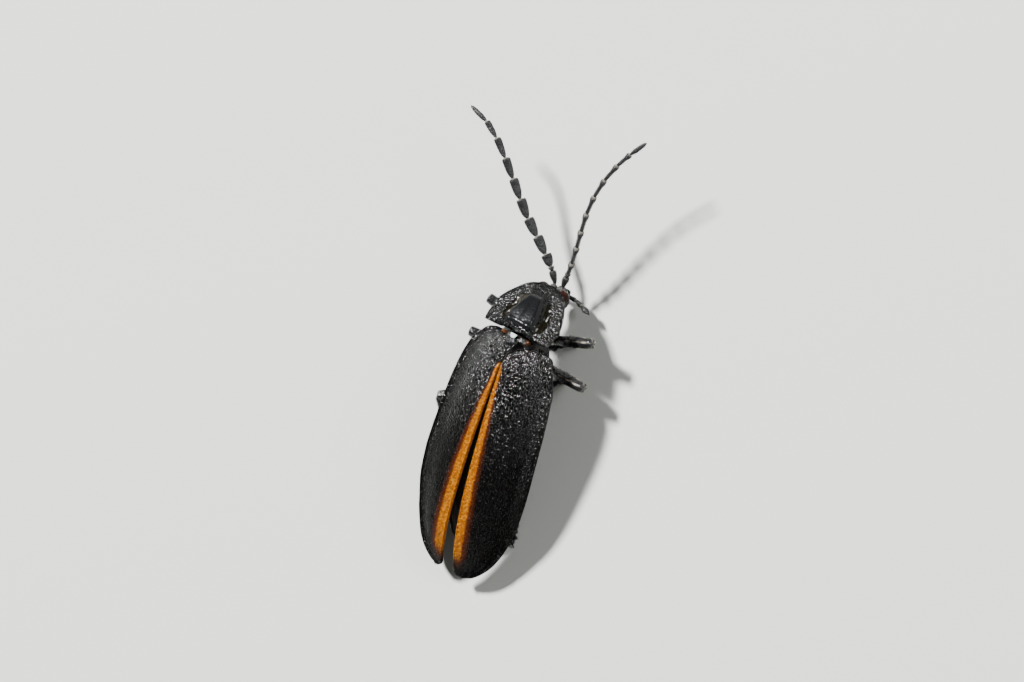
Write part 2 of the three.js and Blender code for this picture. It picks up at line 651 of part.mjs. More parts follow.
function tarsus(leg, grow = 0) {
  const heel = point(leg.ankle[0], leg.ankle[1], TARSUS_HALF);
  const toe = point(leg.toe[0], leg.toe[1], TARSUS_HALF * 0.8);
  const stops = TARSUS_WIDTHS.flatMap((wide, i) => {
    const [from, to] = [TARSUS_JOINTS[i], TARSUS_JOINTS[i + 1]];
    const at = (share) => THREE.MathUtils.lerp(from, to, share);
    const width = TARSUS_HALF * wide;
    const height = TARSUS_HALF * (1 - 0.08 * i);
    return [[at(0.02), 0.72 * width, 0.8 * height], [at(0.7), width, height],
      [at(0.96), 0.9 * width, 0.9 * height]];
  });
  const foot = limb(lineTo(heel, toe), stops, point(toe.y - heel.y, heel.x - toe.x, 0), 10, grow);
  const place = foot.attributes.position;
  for (let i = 0; i < place.count; i += 1) {
    if (place.getZ(i) < SOLE_DEPTH) place.setZ(i, -grow);
  }
  return foot;
}

// Assembly
const firefly = new THREE.Group();

function addNode(name, geometry, material) {
  const mesh = new THREE.Mesh(geometry, material);
  mesh.name = name;
  firefly.add(mesh);
}

const collar = cutBy(collarBody(), shield(GAP));
const thorax = cutBy(thoraxBody(), elytron(-1, GAP), elytron(1, GAP), hindWing(-1, GAP),
  hindWing(1, GAP), shield(GAP), scutellum(GAP), collarBody(GAP));
addNode('pronotum', shield(), SHIELD_GREY);
addNode('prothorax', collar, BODY_BLACK);
addNode('scutellum', scutellum(), SHIELD_GREY);
addNode('thorax', thorax, BODY_BLACK);
addNode('abdomen', cutBy(abdomenBody(), hindWing(-1, GAP), hindWing(1, GAP)), BODY_BLACK);

const headParted = cutBy(headBody(), eye(-1, GAP / 2), eye(1, GAP / 2), palp(-1, GAP), palp(1, GAP));
const headInFrame = moved(headParted, bodyMatrix);
addNode('head', cutBy(headInFrame, collarBody(GAP), shield(GAP)), BODY_BLACK);

Object.entries(sideOf).forEach(([name, side]) => {
  addNode(`elytron_${name}`, elytron(side), SHELL_BLACK);
  addNode(`hindwing_${name}`, hindWing(side), WING_SMOKE);
  addNode(`eye_${name}`, moved(eye(side), bodyMatrix), EYE_BROWN);
  addNode(`palp_${name}`, moved(palp(side), bodyMatrix), FEELER_BLACK);
  addNode(`antenna_${name}_scape`, scape(name), FEELER_BLACK);
  addNode(`antenna_${name}_lower`, segmentRun(name, 2, 5, GAP), FEELER_BLACK);
  addNode(`antenna_${name}_upper`, segmentRun(name, 6, 10, GAP), FEELER_BLACK);
});

Object.entries(LEGS).forEach(([name, leg]) => {
  const trunkGrown = [thoraxBody(GAP), collarBody(GAP)];
  addNode(`leg_${name}_coxa`, cutBy(coxa(leg), ...trunkGrown), LEG_BLACK);
  addNode(`leg_${name}_femur`, cutBy(femur(leg), coxa(leg, GAP), ...trunkGrown), LEG_BLACK);
  addNode(`leg_${name}_tibia`, cutBy(tibia(leg), femur(leg, GAP), tarsus(leg, GAP)), LEG_BLACK);
  addNode(`leg_${name}_tarsus`, tarsus(leg), LEG_BLACK);
});

// The origin is under the middle of the whole beetle, on the floor
const box = new THREE.Box3().setFromObject(firefly);
const middle = box.getCenter(new THREE.Vector3());
firefly.position.set(-middle.x, -middle.y, -box.min.z);

export default firefly;
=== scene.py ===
"""Looks of a life-size black firefly with amber stripes along the suture of its wing cases.

Shapes are worked out in millimetres, in three frames: the body frame (origin at the apex of the
scutellum, x to the beetle's right, y forward, z up through the back), the rear frame, turned a
little inside it, and the floor frame, in which the beetle stands at z = 0.
"""
import math
import bpy
import numpy as np
from mathutils import Matrix, Vector


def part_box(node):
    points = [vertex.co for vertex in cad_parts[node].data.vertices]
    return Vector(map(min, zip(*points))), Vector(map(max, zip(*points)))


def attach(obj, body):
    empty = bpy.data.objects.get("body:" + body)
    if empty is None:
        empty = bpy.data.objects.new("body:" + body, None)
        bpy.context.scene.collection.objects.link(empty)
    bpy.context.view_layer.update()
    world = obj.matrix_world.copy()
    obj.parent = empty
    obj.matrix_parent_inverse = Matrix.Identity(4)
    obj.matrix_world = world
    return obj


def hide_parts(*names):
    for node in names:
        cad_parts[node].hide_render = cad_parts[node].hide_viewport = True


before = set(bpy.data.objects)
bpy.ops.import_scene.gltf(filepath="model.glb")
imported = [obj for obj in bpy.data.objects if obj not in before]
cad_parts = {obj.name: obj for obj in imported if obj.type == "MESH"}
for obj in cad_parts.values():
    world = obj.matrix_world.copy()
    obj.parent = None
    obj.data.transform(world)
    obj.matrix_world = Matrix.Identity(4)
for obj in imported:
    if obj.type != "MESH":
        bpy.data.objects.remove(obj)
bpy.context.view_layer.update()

MM = 0.001
SIDES = {"left": -1, "right": 1}

# Stance
PITCH = math.radians(8)
STANCE_LIFT = 3.0
REAR_TURN = math.radians(-2.55)
ELYTRON_OPENING = math.radians(1.65)
ELYTRON_HINGE = 0.45, 0.1

# Wing cases
ELYTRON_FRONT = 0.43
ELYTRON_TIP = -8.38
ELYTRON_DROP = 0.75
ELYTRON_THICK = 0.2
FLANGE_WIDTH = 0.23

# Hind wings
WING_ROOT = -0.9
WING_TIP = -7.2
WING_DEPTH = 0.5

# Neck shield
SHIELD_LENGTH = 2.04
SHIELD_SLOPE = math.radians(43.8)
SHIELD_HIND = np.array([0, 0.77, -0.29])
SHIELD_THICK = 0.24
SHIELD_DISC_HEIGHT = 0.26
SHIELD_ARCH = 0.12

# Head
HEAD_CENTRE = np.array([0, 1.72, -2.12])
HEAD_HALF = np.array([0.52, 0.42, 0.5])
EYE_CENTRE = np.array([0.41, 1.95, -1.93])
EYE_RADIUS = 0.24
SOCKET = np.array([0.17, 2.14, -2.18])

# Feelers
SEGMENT_LENGTHS = [0.42, 0.14, 0.45, 0.67, 0.67, 0.7, 0.73, 0.74, 0.73, 0.65, 0.78]
FEELER_WIDTH = 0.36
FEELER_THICK = 0.2

# Camera, at the photograph's viewing angle; the picture is 1024 by 682
PICTURE_WIDTH = 1024
PICTURE_HEIGHT = 682
SCALE_PX_PER_MM = 30.0
SCUTELLUM_PX = 505.0, 353.0
VIEW_RIGHT = np.array([0.79018, 0.26998, -0.55020])
VIEW_UP = np.array([-0.39397, 0.91144, -0.11856])
CAMERA_DISTANCE = 250.0
SENSOR_MM = 36.0


# Small helpers

RIPPLE_WAVES = 9


def profile(stations):
    """A smooth curve through [position, value] stations: cubic pieces whose slopes are the
    harmonic mean of the slopes either side, so the curve never overshoots a station."""
    pairs = np.array(sorted(stations), float)
    at, value = pairs[:, 0], pairs[:, 1]
    rise = np.diff(value) / np.diff(at)
    slope = np.concatenate([rise[:1], np.zeros(len(at) - 2), rise[-1:]])
    before, after = rise[:-1], rise[1:]
    same = before * after > 0
    total = np.where(same, before + after, 1.0)
    slope[1:-1] = np.where(same, 2 * before * after / total, 0.0)

    def curve(where):
        where = np.clip(where, at[0], at[-1])
        i = np.clip(np.searchsorted(at, where, side="right") - 1, 0, len(at) - 2)
        span = at[i + 1] - at[i]
        t = (where - at[i]) / span
        return ((2 * t**3 - 3 * t**2 + 1) * value[i] + (t**3 - 2 * t**2 + t) * span * slope[i]
                + (-2 * t**3 + 3 * t**2) * value[i + 1] + (t**3 - t**2) * span * slope[i + 1])
    return curve


def bump(value, centre, width):
    """A bell of height 1: e to the minus square of the distance from centre over width."""
    return np.exp(-((value - centre) / width) ** 2)


def smoothstep(value, low, high):
    """0 below low, 1 above high, and 3 t squared less 2 t cubed between them."""
    t = np.clip((value - low) / (high - low), 0, 1)
    return t * t * (3 - 2 * t)


def ripple(x, y, seed, scale):
    """Smooth unevenness, mostly between -1 and 1: a sum of plane waves of random heading."""
    rng = np.random.default_rng(seed)
    total = 0
    for _ in range(RIPPLE_WAVES):
        heading, phase = rng.uniform(0, 2 * np.pi, 2)
        stretch = rng.uniform(0.6, 1.7) / scale
        total = total + np.sin((np.cos(heading) * x + np.sin(heading) * y) * stretch + phase)
    return total / math.sqrt(RIPPLE_WAVES * 2)


def unit(vectors):
    """Each vector over its own length."""
    return vectors / np.maximum(np.linalg.norm(vectors, axis=-1, keepdims=True), 1e-12)


def stack(*columns):
    """Points or vectors from their x, y and z, stretched to one common shape."""
    return np.stack(np.broadcast_arrays(*columns), -1)


def even_shares(count):
    """The middles of count equal shares of the way from 0 to 1."""
    return (np.arange(count) + 0.5) / count


def turns(count):
    """Angles of a full turn in count equal steps, from 0."""
    return np.arange(count) / count * 2 * np.pi


def rotation(axis, angle):
    """The matrix that turns column vectors by angle about that axis."""
    return np.array(Matrix.Rotation(angle, 3, axis))


def eye_middle(name):
    """The middle of an eye's box in the solids, in millimetres."""
    low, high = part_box(name)
    return (np.array(low) + np.array(high)) / 2 / MM


PITCH_TURN = rotation("X", PITCH)
EYES_MIDDLE = (eye_middle("eye_left") + eye_middle("eye_right")) / 2
EYES_IN_BODY = PITCH_TURN @ (EYE_CENTRE * [0, 1, 1]) + [0, 0, STANCE_LIFT]
ORIGIN_SHIFT = (EYES_MIDDLE - EYES_IN_BODY) * [1, 1, 0]


def floor_frame(points):
    """Shifts points along the floor, so that the eyes lie where they lie in the solids."""
    return points + ORIGIN_SHIFT


def body_frame(points):
    """Tips the body by its pitch and lifts it to its stance."""
    return floor_frame(points @ PITCH_TURN.T + [0, 0, STANCE_LIFT])


def rear_frame(points):
    """Turns the rear of the body a little about the upright axis, then places it as the body."""
    return body_frame(points @ rotation("Z", REAR_TURN).T)


def case_frame(side):
    """The frame of an opened wing case, turned outwards about its hinge."""
    turn = rotation("Z", side * ELYTRON_OPENING)
    hinge = np.array([side * ELYTRON_HINGE[0], ELYTRON_HINGE[1], 0])
    return lambda points: rear_frame((points - hinge) @ turn.T + hinge)


# Meshes

def make_mesh(name, points, faces, material, nodes=(), attributes=None, smooth=True):
    """A piece from points in millimetres and arrays of quads and triangles, turned outwards. It
    rides the one body, stands for the given nodes and carries a value per point per attribute."""
    mesh = bpy.data.meshes.new(name)
    corners = np.concatenate([part.reshape(-1) for part in faces])
    sizes = np.concatenate([np.full(len(part), part.shape[1]) for part in faces])
    starts = np.concatenate([[0], np.cumsum(sizes)[:-1]])
    mesh.vertices.add(len(points))
    mesh.vertices.foreach_set("co", (points * MM).astype(np.float32).reshape(-1))
    mesh.loops.add(len(corners))
    mesh.loops.foreach_set("vertex_index", corners.astype(np.int32))
    mesh.polygons.add(len(sizes))
    mesh.polygons.foreach_set("loop_start", starts.astype(np.int32))
    mesh.update(calc_edges=True)
    mesh.validate()
    for key, values in (attributes or {}).items():
        layer = mesh.attributes.new(key, "FLOAT", "POINT")
        layer.data.foreach_set("value", values.astype(np.float32))
    if smooth:
        mesh.shade_smooth()
    piece = bpy.data.objects.new(name, mesh)
    bpy.context.scene.collection.objects.link(piece)
    if signed_volume(mesh) < 0:
        mesh.flip_normals()
    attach(piece, "root")
    if nodes:
        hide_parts(*nodes)
    mesh.materials.append(material)
    return piece


def signed_volume(mesh):
    """Six times the volume, summed from the corners of each triangle; below 0 if inside out."""
    mesh.calc_loop_triangles()
    corners = np.empty(len(mesh.loop_triangles) * 3, np.int32)
    mesh.loop_triangles.foreach_get("vertices", corners)
    places = np.empty(len(mesh.vertices) * 3, np.float32)
    mesh.vertices.foreach_get("co", places)
    places = places.reshape(-1, 3).astype(float) / MM
    places -= places.mean(0)
    a, b, c = places[corners.reshape(-1, 3)].transpose(1, 0, 2)
    return float(np.einsum("ij,ij->i", a, np.cross(b, c)).sum())


def tube_faces(around, along):
    """Quads between rings of points, and a triangle fan from one middle point at each end."""
    ring, k = np.meshgrid(np.arange(along - 1), np.arange(around), indexing="ij")
    a = ring * around + k
    b = ring * around + (k + 1) % around
    quads = np.stack([a, b, b + around, a + around], -1).reshape(-1, 4)
    k = np.arange(around)
    last = (along - 1) * around
    first_middle, last_middle = along * around, along * around + 1
    first_fan = np.stack([np.full(around, first_middle), (k + 1) % around, k], -1)
    last_fan = np.stack([np.full(around, last_middle), last + k, last + (k + 1) % around], -1)
    return quads, np.concatenate([first_fan, last_fan])


def tube(rings):
    """Points and faces of a closed tube from an array of rings (along, around, 3)."""
    along, around = rings.shape[:2]
    ends = np.stack([rings[0].mean(0), rings[-1].mean(0)])
    points = np.concatenate([rings.reshape(-1, 3), ends])
    return points, tube_faces(around, along)


def join_parts(parts):
    """Several (points, (quads, triangles), attributes) as one mesh's arrays."""
    points, quads, triangles, extras, start = [], [], [], {}, 0
    for part in parts:
        place, (four, three) = part[:2]
        attributes = part[2] if len(part) > 2 else {}
        points.append(place)
        quads.append(four + start)
        triangles.append(three + start)
        for key, values in attributes.items():
            extras.setdefault(key, []).append(values)
        start += len(place)
    merged = {key: np.concatenate(values) for key, values in extras.items()}
    return np.concatenate(points), (np.concatenate(quads), np.concatenate(triangles)), merged


def plate_loop(around):
    """A section's loop: where each of its points lies across, 0 to 1, and above or below the
    middle of the plate, 1 to -1, as a rounded bar: cosine across, a blunted sine up."""
    angle = even_shares(around) * 2 * np.pi
    across = 0.5 - 0.5 * np.cos(angle)
    lift = np.sign(np.sin(angle)) * np.abs(np.sin(angle)) ** 0.4
    return across, lift


def ends_with_rings(attribute, along, around):
    """A per-ring-point attribute with the values of the two end middles added."""
    grid = attribute.reshape(along, around)
    return np.concatenate([grid.reshape(-1), [grid[0].mean(), grid[-1].mean()]])


# Hairs: thin three-sided spikes with a bend, set on a surface and lying along it

HAIR_POINTS = 7
HAIR_MAP = [[0, 0], [1, 0], [0.5, 0.3], [0, 0.6], [1, 0.6], [0.5, 0.8], [0.5, 1]]
HAIR_PATCH = 0.003
HAIR_RISE = 0.45
HAIR_BEND = 0.09


def spikes(roots, normals, leans, lengths, widths, patches):
    """Each hair has a root triangle, a middle triangle and a tip. The middle lies half way
    along, lifted off the chord, and the tip lies length away, leaning from the normal."""
    count = len(roots)
    lean = unit(leans)
    side = unit(np.cross(normals, lean))
    tips = roots + lean * lengths[:, None]
    bend = roots + lean * lengths[:, None] * 0.5 + normals * lengths[:, None] * HAIR_BEND
    angle = turns(3)
    spread = (np.cos(angle)[None, :, None] * side[:, None, :]
              + np.sin(angle)[None, :, None] * normals[:, None, :]) * widths[:, None, None]
    root_ring = roots[:, None, :] - normals[:, None, :] * widths[:, None, None] + spread
    middle_ring = bend[:, None, :] + spread * 0.75
    points = np.concatenate([root_ring, middle_ring, tips[:, None, :]], 1).reshape(-1, 3)
    k = np.arange(3)
    n = (k + 1) % 3
    quads = np.stack([k, n, n + 3, k + 3], -1)
    points_up = np.concatenate([np.stack([k + 3, n + 3, np.full(3, 6)], -1), [[2, 1, 0]]])
    shift = np.arange(count)[:, None, None] * HAIR_POINTS
    faces = (quads[None] + shift).reshape(-1, 4), (points_up[None] + shift).reshape(-1, 3)
    return points, faces, np.repeat(patches, HAIR_POINTS, axis=0)


def coat(name, sources, material):
    """One piece of many hairs. Its map gives each hair a small patch at its root's place."""
    made = [spikes(*source) for source in sources]
    points, faces, _ = join_parts([(part[0], part[1]) for part in made])
    piece = make_mesh(name, points, faces, material, smooth=False)
    places = np.concatenate([part[2] for part in made])
    within = np.tile(np.array(HAIR_MAP), (len(points) // HAIR_POINTS, 1)) * HAIR_PATCH
    corner = np.empty(len(piece.data.loops), np.int32)
    piece.data.loops.foreach_get("vertex_index", corner)
    layer = piece.data.uv_layers.new(name="OFBake")
    layer.data.foreach_set("uv", (places + within)[corner].astype(np.float32).reshape(-1))


def scatter(surface, count, seed, lengths, width, lean=(0, 1), rise=0.35, keep=None, jitter=0.35,
            tile=(0.0, 0.0, 0.5)):
    """Roots spread over a surface of two parameters, with normals from its partial steps.
    lean says how much the hairs point along each parameter, and rise along the normal."""
    rng = np.random.default_rng(seed)
    u, v = rng.uniform(0.001, 0.999, (2, count))
    if keep is not None:
        chosen = rng.uniform(0, 1, count) < keep(u, v)
        u, v = u[chosen], v[chosen]
    step = 1e-3
    root = surface(u, v)
    along_u = unit(surface(u + step, v) - root)
    along_v = unit(surface(u, v + step) - root)
    normal = unit(np.cross(along_u, along_v))
    sway = rng.normal(0, jitter, (len(u), 1))
    lift = rise + rng.normal(0, 0.1, (len(u), 1))
    way = lean[0] * along_u + lean[1] * along_v + sway * along_u + lift * normal
    length = rng.uniform(lengths[0], lengths[1], len(u))
    left, low, size = tile
    patches = stack(left + u * size, low + v * size)
    return root, normal, way, length, np.full(len(u), width), patches


# Materials

def group(name, inputs, outputs):
    """An empty shader node group with float or vector sockets and its two end nodes."""
    tree = bpy.data.node_groups.new(name, "ShaderNodeTree")
    for label, kind, default in inputs:
        socket = tree.interface.new_socket(label, in_out="INPUT", socket_type=kind)
        if default is not None:
            socket.default_value = default
    for label, kind in outputs:
        tree.interface.new_socket(label, in_out="OUTPUT", socket_type=kind)
    return tree, tree.nodes.new("NodeGroupInput"), tree.nodes.new("NodeGroupOutput")


def wire(tree, source, target):
    """Links an output socket to an input socket."""
    tree.links.new(source, target)


def math_node(tree, operation, *values, clamp=False):
    """A Math node whose inputs are numbers or sockets; returns its result socket."""
    node = tree.nodes.new("ShaderNodeMath")
    node.operation = operation
    node.use_clamp = clamp
    for socket, value in zip(node.inputs, values):
        if isinstance(value, (int, float)):
            socket.default_value = value
        else:
            wire(tree, value, socket)
    return node.outputs[0]


def ramp_node(tree, source, low, high):
    """A smooth step from 0 at low to 1 at high."""
    node = tree.nodes.new("ShaderNodeMapRange")
    node.interpolation_type = "SMOOTHSTEP"
    node.inputs["From Min"].default_value = low
    node.inputs["From Max"].default_value = high
    wire(tree, source, node.inputs["Value"])
    return node.outputs["Result"]


def noise_node(tree, vector, scale, detail):
    """Cloudy noise from 0 to 1, with that many waves per metre."""
    node = tree.nodes.new("ShaderNodeTexNoise")
    node.inputs["Scale"].default_value = scale
    node.inputs["Detail"].default_value = detail
    node.inputs["Roughness"].default_value = 0.55
    wire(tree, vector, node.inputs["Vector"])
    return node.outputs["Fac"]


def cell_node(tree, vector, scale):
    """The distance to the middle of the nearest cell, in shares of the cells' spacing."""
    node = tree.nodes.new("ShaderNodeTexVoronoi")
    node.inputs["Scale"].default_value = scale
    wire(tree, vector, node.inputs["Vector"])
    return node.outputs["Distance"]


def colour_mix(tree, share, first, second):
    """Mixes two colours, each a tuple or a socket, by a share that is a number or a socket."""
    node = tree.nodes.new("ShaderNodeMix")
    node.data_type = "RGBA"
    sockets = node.inputs["Factor"], node.inputs["A"], node.inputs["B"]
    for socket, value in zip(sockets, (share, first, second)):
        if isinstance(value, bpy.types.NodeSocket):
            wire(tree, value, socket)
        else:
            socket.default_value = value if isinstance(value, (int, float)) else (*value, 1.0)
    return next(socket for socket in node.outputs if socket.type == "RGBA")


def grain_group():
    """Horn's grain: round granules, each a low dome whose height falls with the square of the
    distance from its middle, with finer grain and a slow unevenness. Puts out the height, in
    shares of a granule's width, and a mask of the granule tops."""
    tree, start, end = group(
        "Horn grain",
        [("Vector", "NodeSocketVector", None), ("Cell", "NodeSocketFloat", 16000.0),
         ("Unevenness", "NodeSocketFloat", 1.0)],
        [("Height", "NodeSocketFloat"), ("Tops", "NodeSocketFloat")])
    coarse = tree.nodes.new("ShaderNodeTexVoronoi")
    fine = tree.nodes.new("ShaderNodeTexNoise")
    fine.inputs["Detail"].default_value = 1.0
    swell = tree.nodes.new("ShaderNodeTexNoise")
    swell.inputs["Detail"].default_value = 2.0
    for node, share in ((coarse, 1.0), (fine, 1.7), (swell, 0.2)):
        wire(tree, start.outputs["Vector"], node.inputs["Vector"])
        wire(tree, math_node(tree, "MULTIPLY", start.outputs["Cell"], share), node.inputs["Scale"])
    dome = math_node(tree, "MULTIPLY", math_node(tree, "POWER", coarse.outputs["Distance"], 2.0), -1.0)
    small = math_node(tree, "MULTIPLY", fine.outputs["Fac"], 0.16)
    wave = math_node(tree, "MULTIPLY", swell.outputs["Fac"], start.outputs["Unevenness"])
    height = math_node(tree, "ADD", math_node(tree, "ADD", dome, small), wave)
    wire(tree, height, end.inputs["Height"])
    wire(tree, math_node(tree, "ADD", dome, 1.0), end.inputs["Tops"])
    return tree


def place_group(tree, made, vector, **values):
    """A node that holds the made group, with its vector linked and its other inputs set."""
    node = tree.nodes.new("ShaderNodeGroup")
    node.node_tree = made
    wire(tree, vector, node.inputs["Vector"])
    for key, value in values.items():
        node.inputs[key].default_value = value
    return node


def new_material(name):
    """A material with its tree, its Principled shader and its Object coordinates."""
    material = bpy.data.materials.new(name)
    material.use_nodes = True
    tree = material.node_tree
    shader = tree.nodes["Principled BSDF"]
    place = tree.nodes.new("ShaderNodeTexCoord").outputs["Object"]
    return material, tree, shader, place


def attribute(tree, name):
    """The value that a piece carries per point under that name."""
    node = tree.nodes.new("ShaderNodeAttribute")
    node.attribute_name = name
    return node.outputs["Fac"]


def add_bump(tree, shader, height, strength, distance):
    """A Bump node of that strength, a number or a socket, and of that depth in metres."""
    node = tree.nodes.new("ShaderNodeBump")
    node.inputs["Distance"].default_value = distance
    if isinstance(strength, (int, float)):
        node.inputs["Strength"].default_value = strength
    else:
        wire(tree, strength, node.inputs["Strength"])
    wire(tree, height, node.inputs["Height"])
    wire(tree, node.outputs["Normal"], shader.inputs["Normal"])


ASLANT_LOSS = 0.8


def less_aslant(tree, level):
    """The level times 1 less 0.8 of how far aslant the surface is seen. This keeps the pale
    floor's reflection from greying the black horn; real horn doesn't lose its gloss so."""
    facing = tree.nodes.new("ShaderNodeLayerWeight")
    facing.inputs["Blend"].default_value = 0.5
    kept = math_node(tree, "MULTIPLY_ADD", facing.outputs["Facing"], -ASLANT_LOSS, 1.0, clamp=True)
    return math_node(tree, "MULTIPLY", level, kept)


GRAIN = grain_group()

# Colours; a pair is the dark and the light end of a mottle
SHELL_BLACK = (0.0006, 0.00055, 0.0005), (0.002, 0.0018, 0.0016)
SHELL_RUST = (0.022, 0.004, 0.001), (0.055, 0.011, 0.0015)
SHELL_GOLD = (0.14, 0.034, 0.0002), (0.225, 0.066, 0.0005)
SHELL_PITS = 0.32, 0.13, 0.006
SHIELD_BLACK = (0.001, 0.001, 0.001), (0.003, 0.003, 0.003)
SHIELD_GREY = (0.0022, 0.0024, 0.0027), (0.0055, 0.0058, 0.0064)
SHIELD_OLIVE = (0.0012, 0.001, 0.0006), (0.0042, 0.0034, 0.0015)
# Painted highlight along the folds of the left window
SHIELD_FOLD_HIGHLIGHT = 0.03, 0.028, 0.022
SHIELD_RIM = 0.002, 0.002, 0.002
# Pale joints of feelers and palps, and painted highlight on the right thighs' ridges
LIMB_PALE_AND_SHEEN = 0.42, 0.38, 0.32
EYE_RED = (0.005, 0.0014, 0.001), (0.019, 0.005, 0.003)
WING_SMOKE = (0.045, 0.036, 0.028), (0.11, 0.09, 0.07)
WING_VEIN = 0.02, 0.013, 0.009
SKIN_AMBER = (0.006, 0.002, 0.001), (0.045, 0.014, 0.002)
SKIN_WHITISH = 0.34, 0.39, 0.38


def shell_material():
    """Wing case: black granular horn, amber along the suture, rusty where amber meets black.
    Its gloss rises with the front mask, at the shoulders and along the gutter's ridge."""
    material, tree, shader, place = new_material("Wing case horn")
    grain = place_group(tree, GRAIN, place, Cell=12000.0, Unevenness=0.7)
    amber = attribute(tree, "amber")
    rust = attribute(tree, "rust")
    mottle = noise_node(tree, place, 2600.0, 4.0)
    black = colour_mix(tree, mottle, *SHELL_BLACK)
    rusty = colour_mix(tree, mottle, *SHELL_RUST)
    gold = colour_mix(tree, mottle, *SHELL_GOLD)
    pits = math_node(tree, "MULTIPLY", ramp_node(tree, grain.outputs["Tops"], 0.8, 0.45), 0.6)
    pale = colour_mix(tree, pits, gold, SHELL_PITS)
    colour = colour_mix(tree, amber, colour_mix(tree, rust, black, rusty), pale)
    wire(tree, colour, shader.inputs["Base Color"])
    rough = ramp_node(tree, mottle, 0.2, 0.9)
    wire(tree, math_node(tree, "MULTIPLY_ADD", rough, 0.05, 0.08), shader.inputs["Roughness"])
    level = math_node(tree, "MULTIPLY_ADD", attribute(tree, "front"), 0.44, 0.035)
    wire(tree, less_aslant(tree, level), shader.inputs["Specular IOR Level"])
    strength = math_node(tree, "MULTIPLY_ADD", amber, -0.3, 1.0, clamp=True)
    add_bump(tree, shader, grain.outputs["Height"], strength, 0.000045)
    return material


def shield_material():
    """Neck shield: glossy grain round the disc, a smooth satin disc, dark olive-brown windows
    with a pale painted highlight along the folds of the left one, and a smooth black line at the edge."""
    material, tree, shader, place = new_material("Neck shield horn")
    grain = place_group(tree, GRAIN, place, Cell=12500.0, Unevenness=0.5)
    disc = attribute(tree, "disc")
    window = attribute(tree, "window")
    fold = attribute(tree, "fold")
    rim = attribute(tree, "rim")
    mottle = noise_node(tree, place, 2200.0, 4.0)
    black = colour_mix(tree, mottle, *SHIELD_BLACK)
    grey = colour_mix(tree, mottle, *SHIELD_GREY)
    olive = colour_mix(tree, mottle, *SHIELD_OLIVE)
    colour = colour_mix(tree, disc, black, grey)
    colour = colour_mix(tree, window, colour, olive)
    # Painted highlight along the left window's folds, on the side the key lamp lights
    colour = colour_mix(tree, fold, colour, SHIELD_FOLD_HIGHLIGHT)
    colour = colour_mix(tree, rim, colour, SHIELD_RIM)
    wire(tree, colour, shader.inputs["Base Color"])
    smooth_share = math_node(tree, "MAXIMUM", disc, window)
    wire(tree, math_node(tree, "MULTIPLY_ADD", smooth_share, 0.11, 0.075), shader.inputs["Roughness"])
    level = math_node(tree, "MULTIPLY_ADD", smooth_share, -0.2, 0.36)
    wire(tree, less_aslant(tree, level), shader.inputs["Specular IOR Level"])
    covered = math_node(tree, "MAXIMUM", smooth_share, rim)
    strength = math_node(tree, "MULTIPLY_ADD", covered, -0.92, 1.0, clamp=True)
    add_bump(tree, shader, grain.outputs["Height"], strength, 0.000052)
    return material


def skin_material(name, dark, light, roughness, cell, depth, gloss=0.22):
    """Dull or satin black horn of the body, legs and feelers, pale where the mask is: pale joints on the
    feelers and palps, and a painted highlight on the ridges of the right thighs.
    """
    material, tree, shader, place = new_material(name)
    grain = place_group(tree, GRAIN, place, Cell=cell, Unevenness=0.9)
    mottle = noise_node(tree, place, 3200.0, 4.0)
    colour = colour_mix(tree, mottle, dark, light)
    # The mask marks pale joints on feelers and palps, and paints highlight on the right thighs' ridges
    joint = attribute(tree, "joint")
    colour = colour_mix(tree, joint, colour, LIMB_PALE_AND_SHEEN)
    wire(tree, colour, shader.inputs["Base Color"])
    wire(tree, math_node(tree, "MULTIPLY_ADD", mottle, 0.2, roughness - 0.1), shader.inputs["Roughness"])
    shader.inputs["Specular IOR Level"].default_value = gloss
    add_bump(tree, shader, grain.outputs["Height"], 0.6, depth)
    return material


def eye_material():
    """Compound eye: dark red-brown, glossy, with fine close facets."""
    material, tree, shader, place = new_material("Compound eye")
    facet = cell_node(tree, place, 42000.0)
    shade = noise_node(tree, place, 3000.0, 2.0)
    colour = colour_mix(tree, shade, *EYE_RED)
    wire(tree, colour, shader.inputs["Base Color"])
    shader.inputs["Roughness"].default_value = 0.12
    shader.inputs["Specular IOR Level"].default_value = 0.06
    add_bump(tree, shader, math_node(tree, "SUBTRACT", 1.0, facet), 0.3, 0.0000015)
    return material


def wing_material():
    """Hind wing: a smoky membrane that lets light through, with dark brown veins."""
    material, tree, shader, place = new_material("Smoky wing membrane")
    vein = attribute(tree, "vein")
    mottle = noise_node(tree, place, 1800.0, 5.0)
    smoke = colour_mix(tree, mottle, *WING_SMOKE)
    colour = colour_mix(tree, vein, smoke, WING_VEIN)
    wire(tree, colour, shader.inputs["Base Color"])
    shader.inputs["Roughness"].default_value = 0.32
    wire(tree, math_node(tree, "MULTIPLY_ADD", vein, 0.22, 0.78, clamp=True), shader.inputs["Alpha"])
    add_bump(tree, shader, noise_node(tree, place, 5200.0, 3.0), 0.4, 0.00001)
    return material


def pale_skin_material():
    """Joint skin between plates: soft, orange-brown to whitish."""
    material, tree, shader, place = new_material("Joint skin")
    mottle = noise_node(tree, place, 5200.0, 4.0)
    pale = attribute(tree, "pale")
    amber = colour_mix(tree, ramp_node(tree, mottle, 0.35, 0.65), *SKIN_AMBER)
    colour = colour_mix(tree, pale, amber, SKIN_WHITISH)
    wire(tree, colour, shader.inputs["Base Color"])
    shader.inputs["Roughness"].default_value = 0.38
    shader.inputs["Specular IOR Level"].default_value = 0.12
    shader.inputs["Subsurface Weight"].default_value = 0.15
    shader.inputs["Subsurface Scale"].default_value = 0.0001
    add_bump(tree, shader, mottle, 0.5, 0.00002)
    return material


def hair_material(name, dark, light, roughness):
    """Fine down: each hair's tone varies from place to place."""
    material, tree, shader, place = new_material(name)
    colour = colour_mix(tree, noise_node(tree, place, 9000.0, 2.0), dark, light)
    wire(tree, colour, shader.inputs["Base Color"])
    shader.inputs["Roughness"].default_value = roughness
    shader.inputs["Specular IOR Level"].default_value = 0.2
    return material


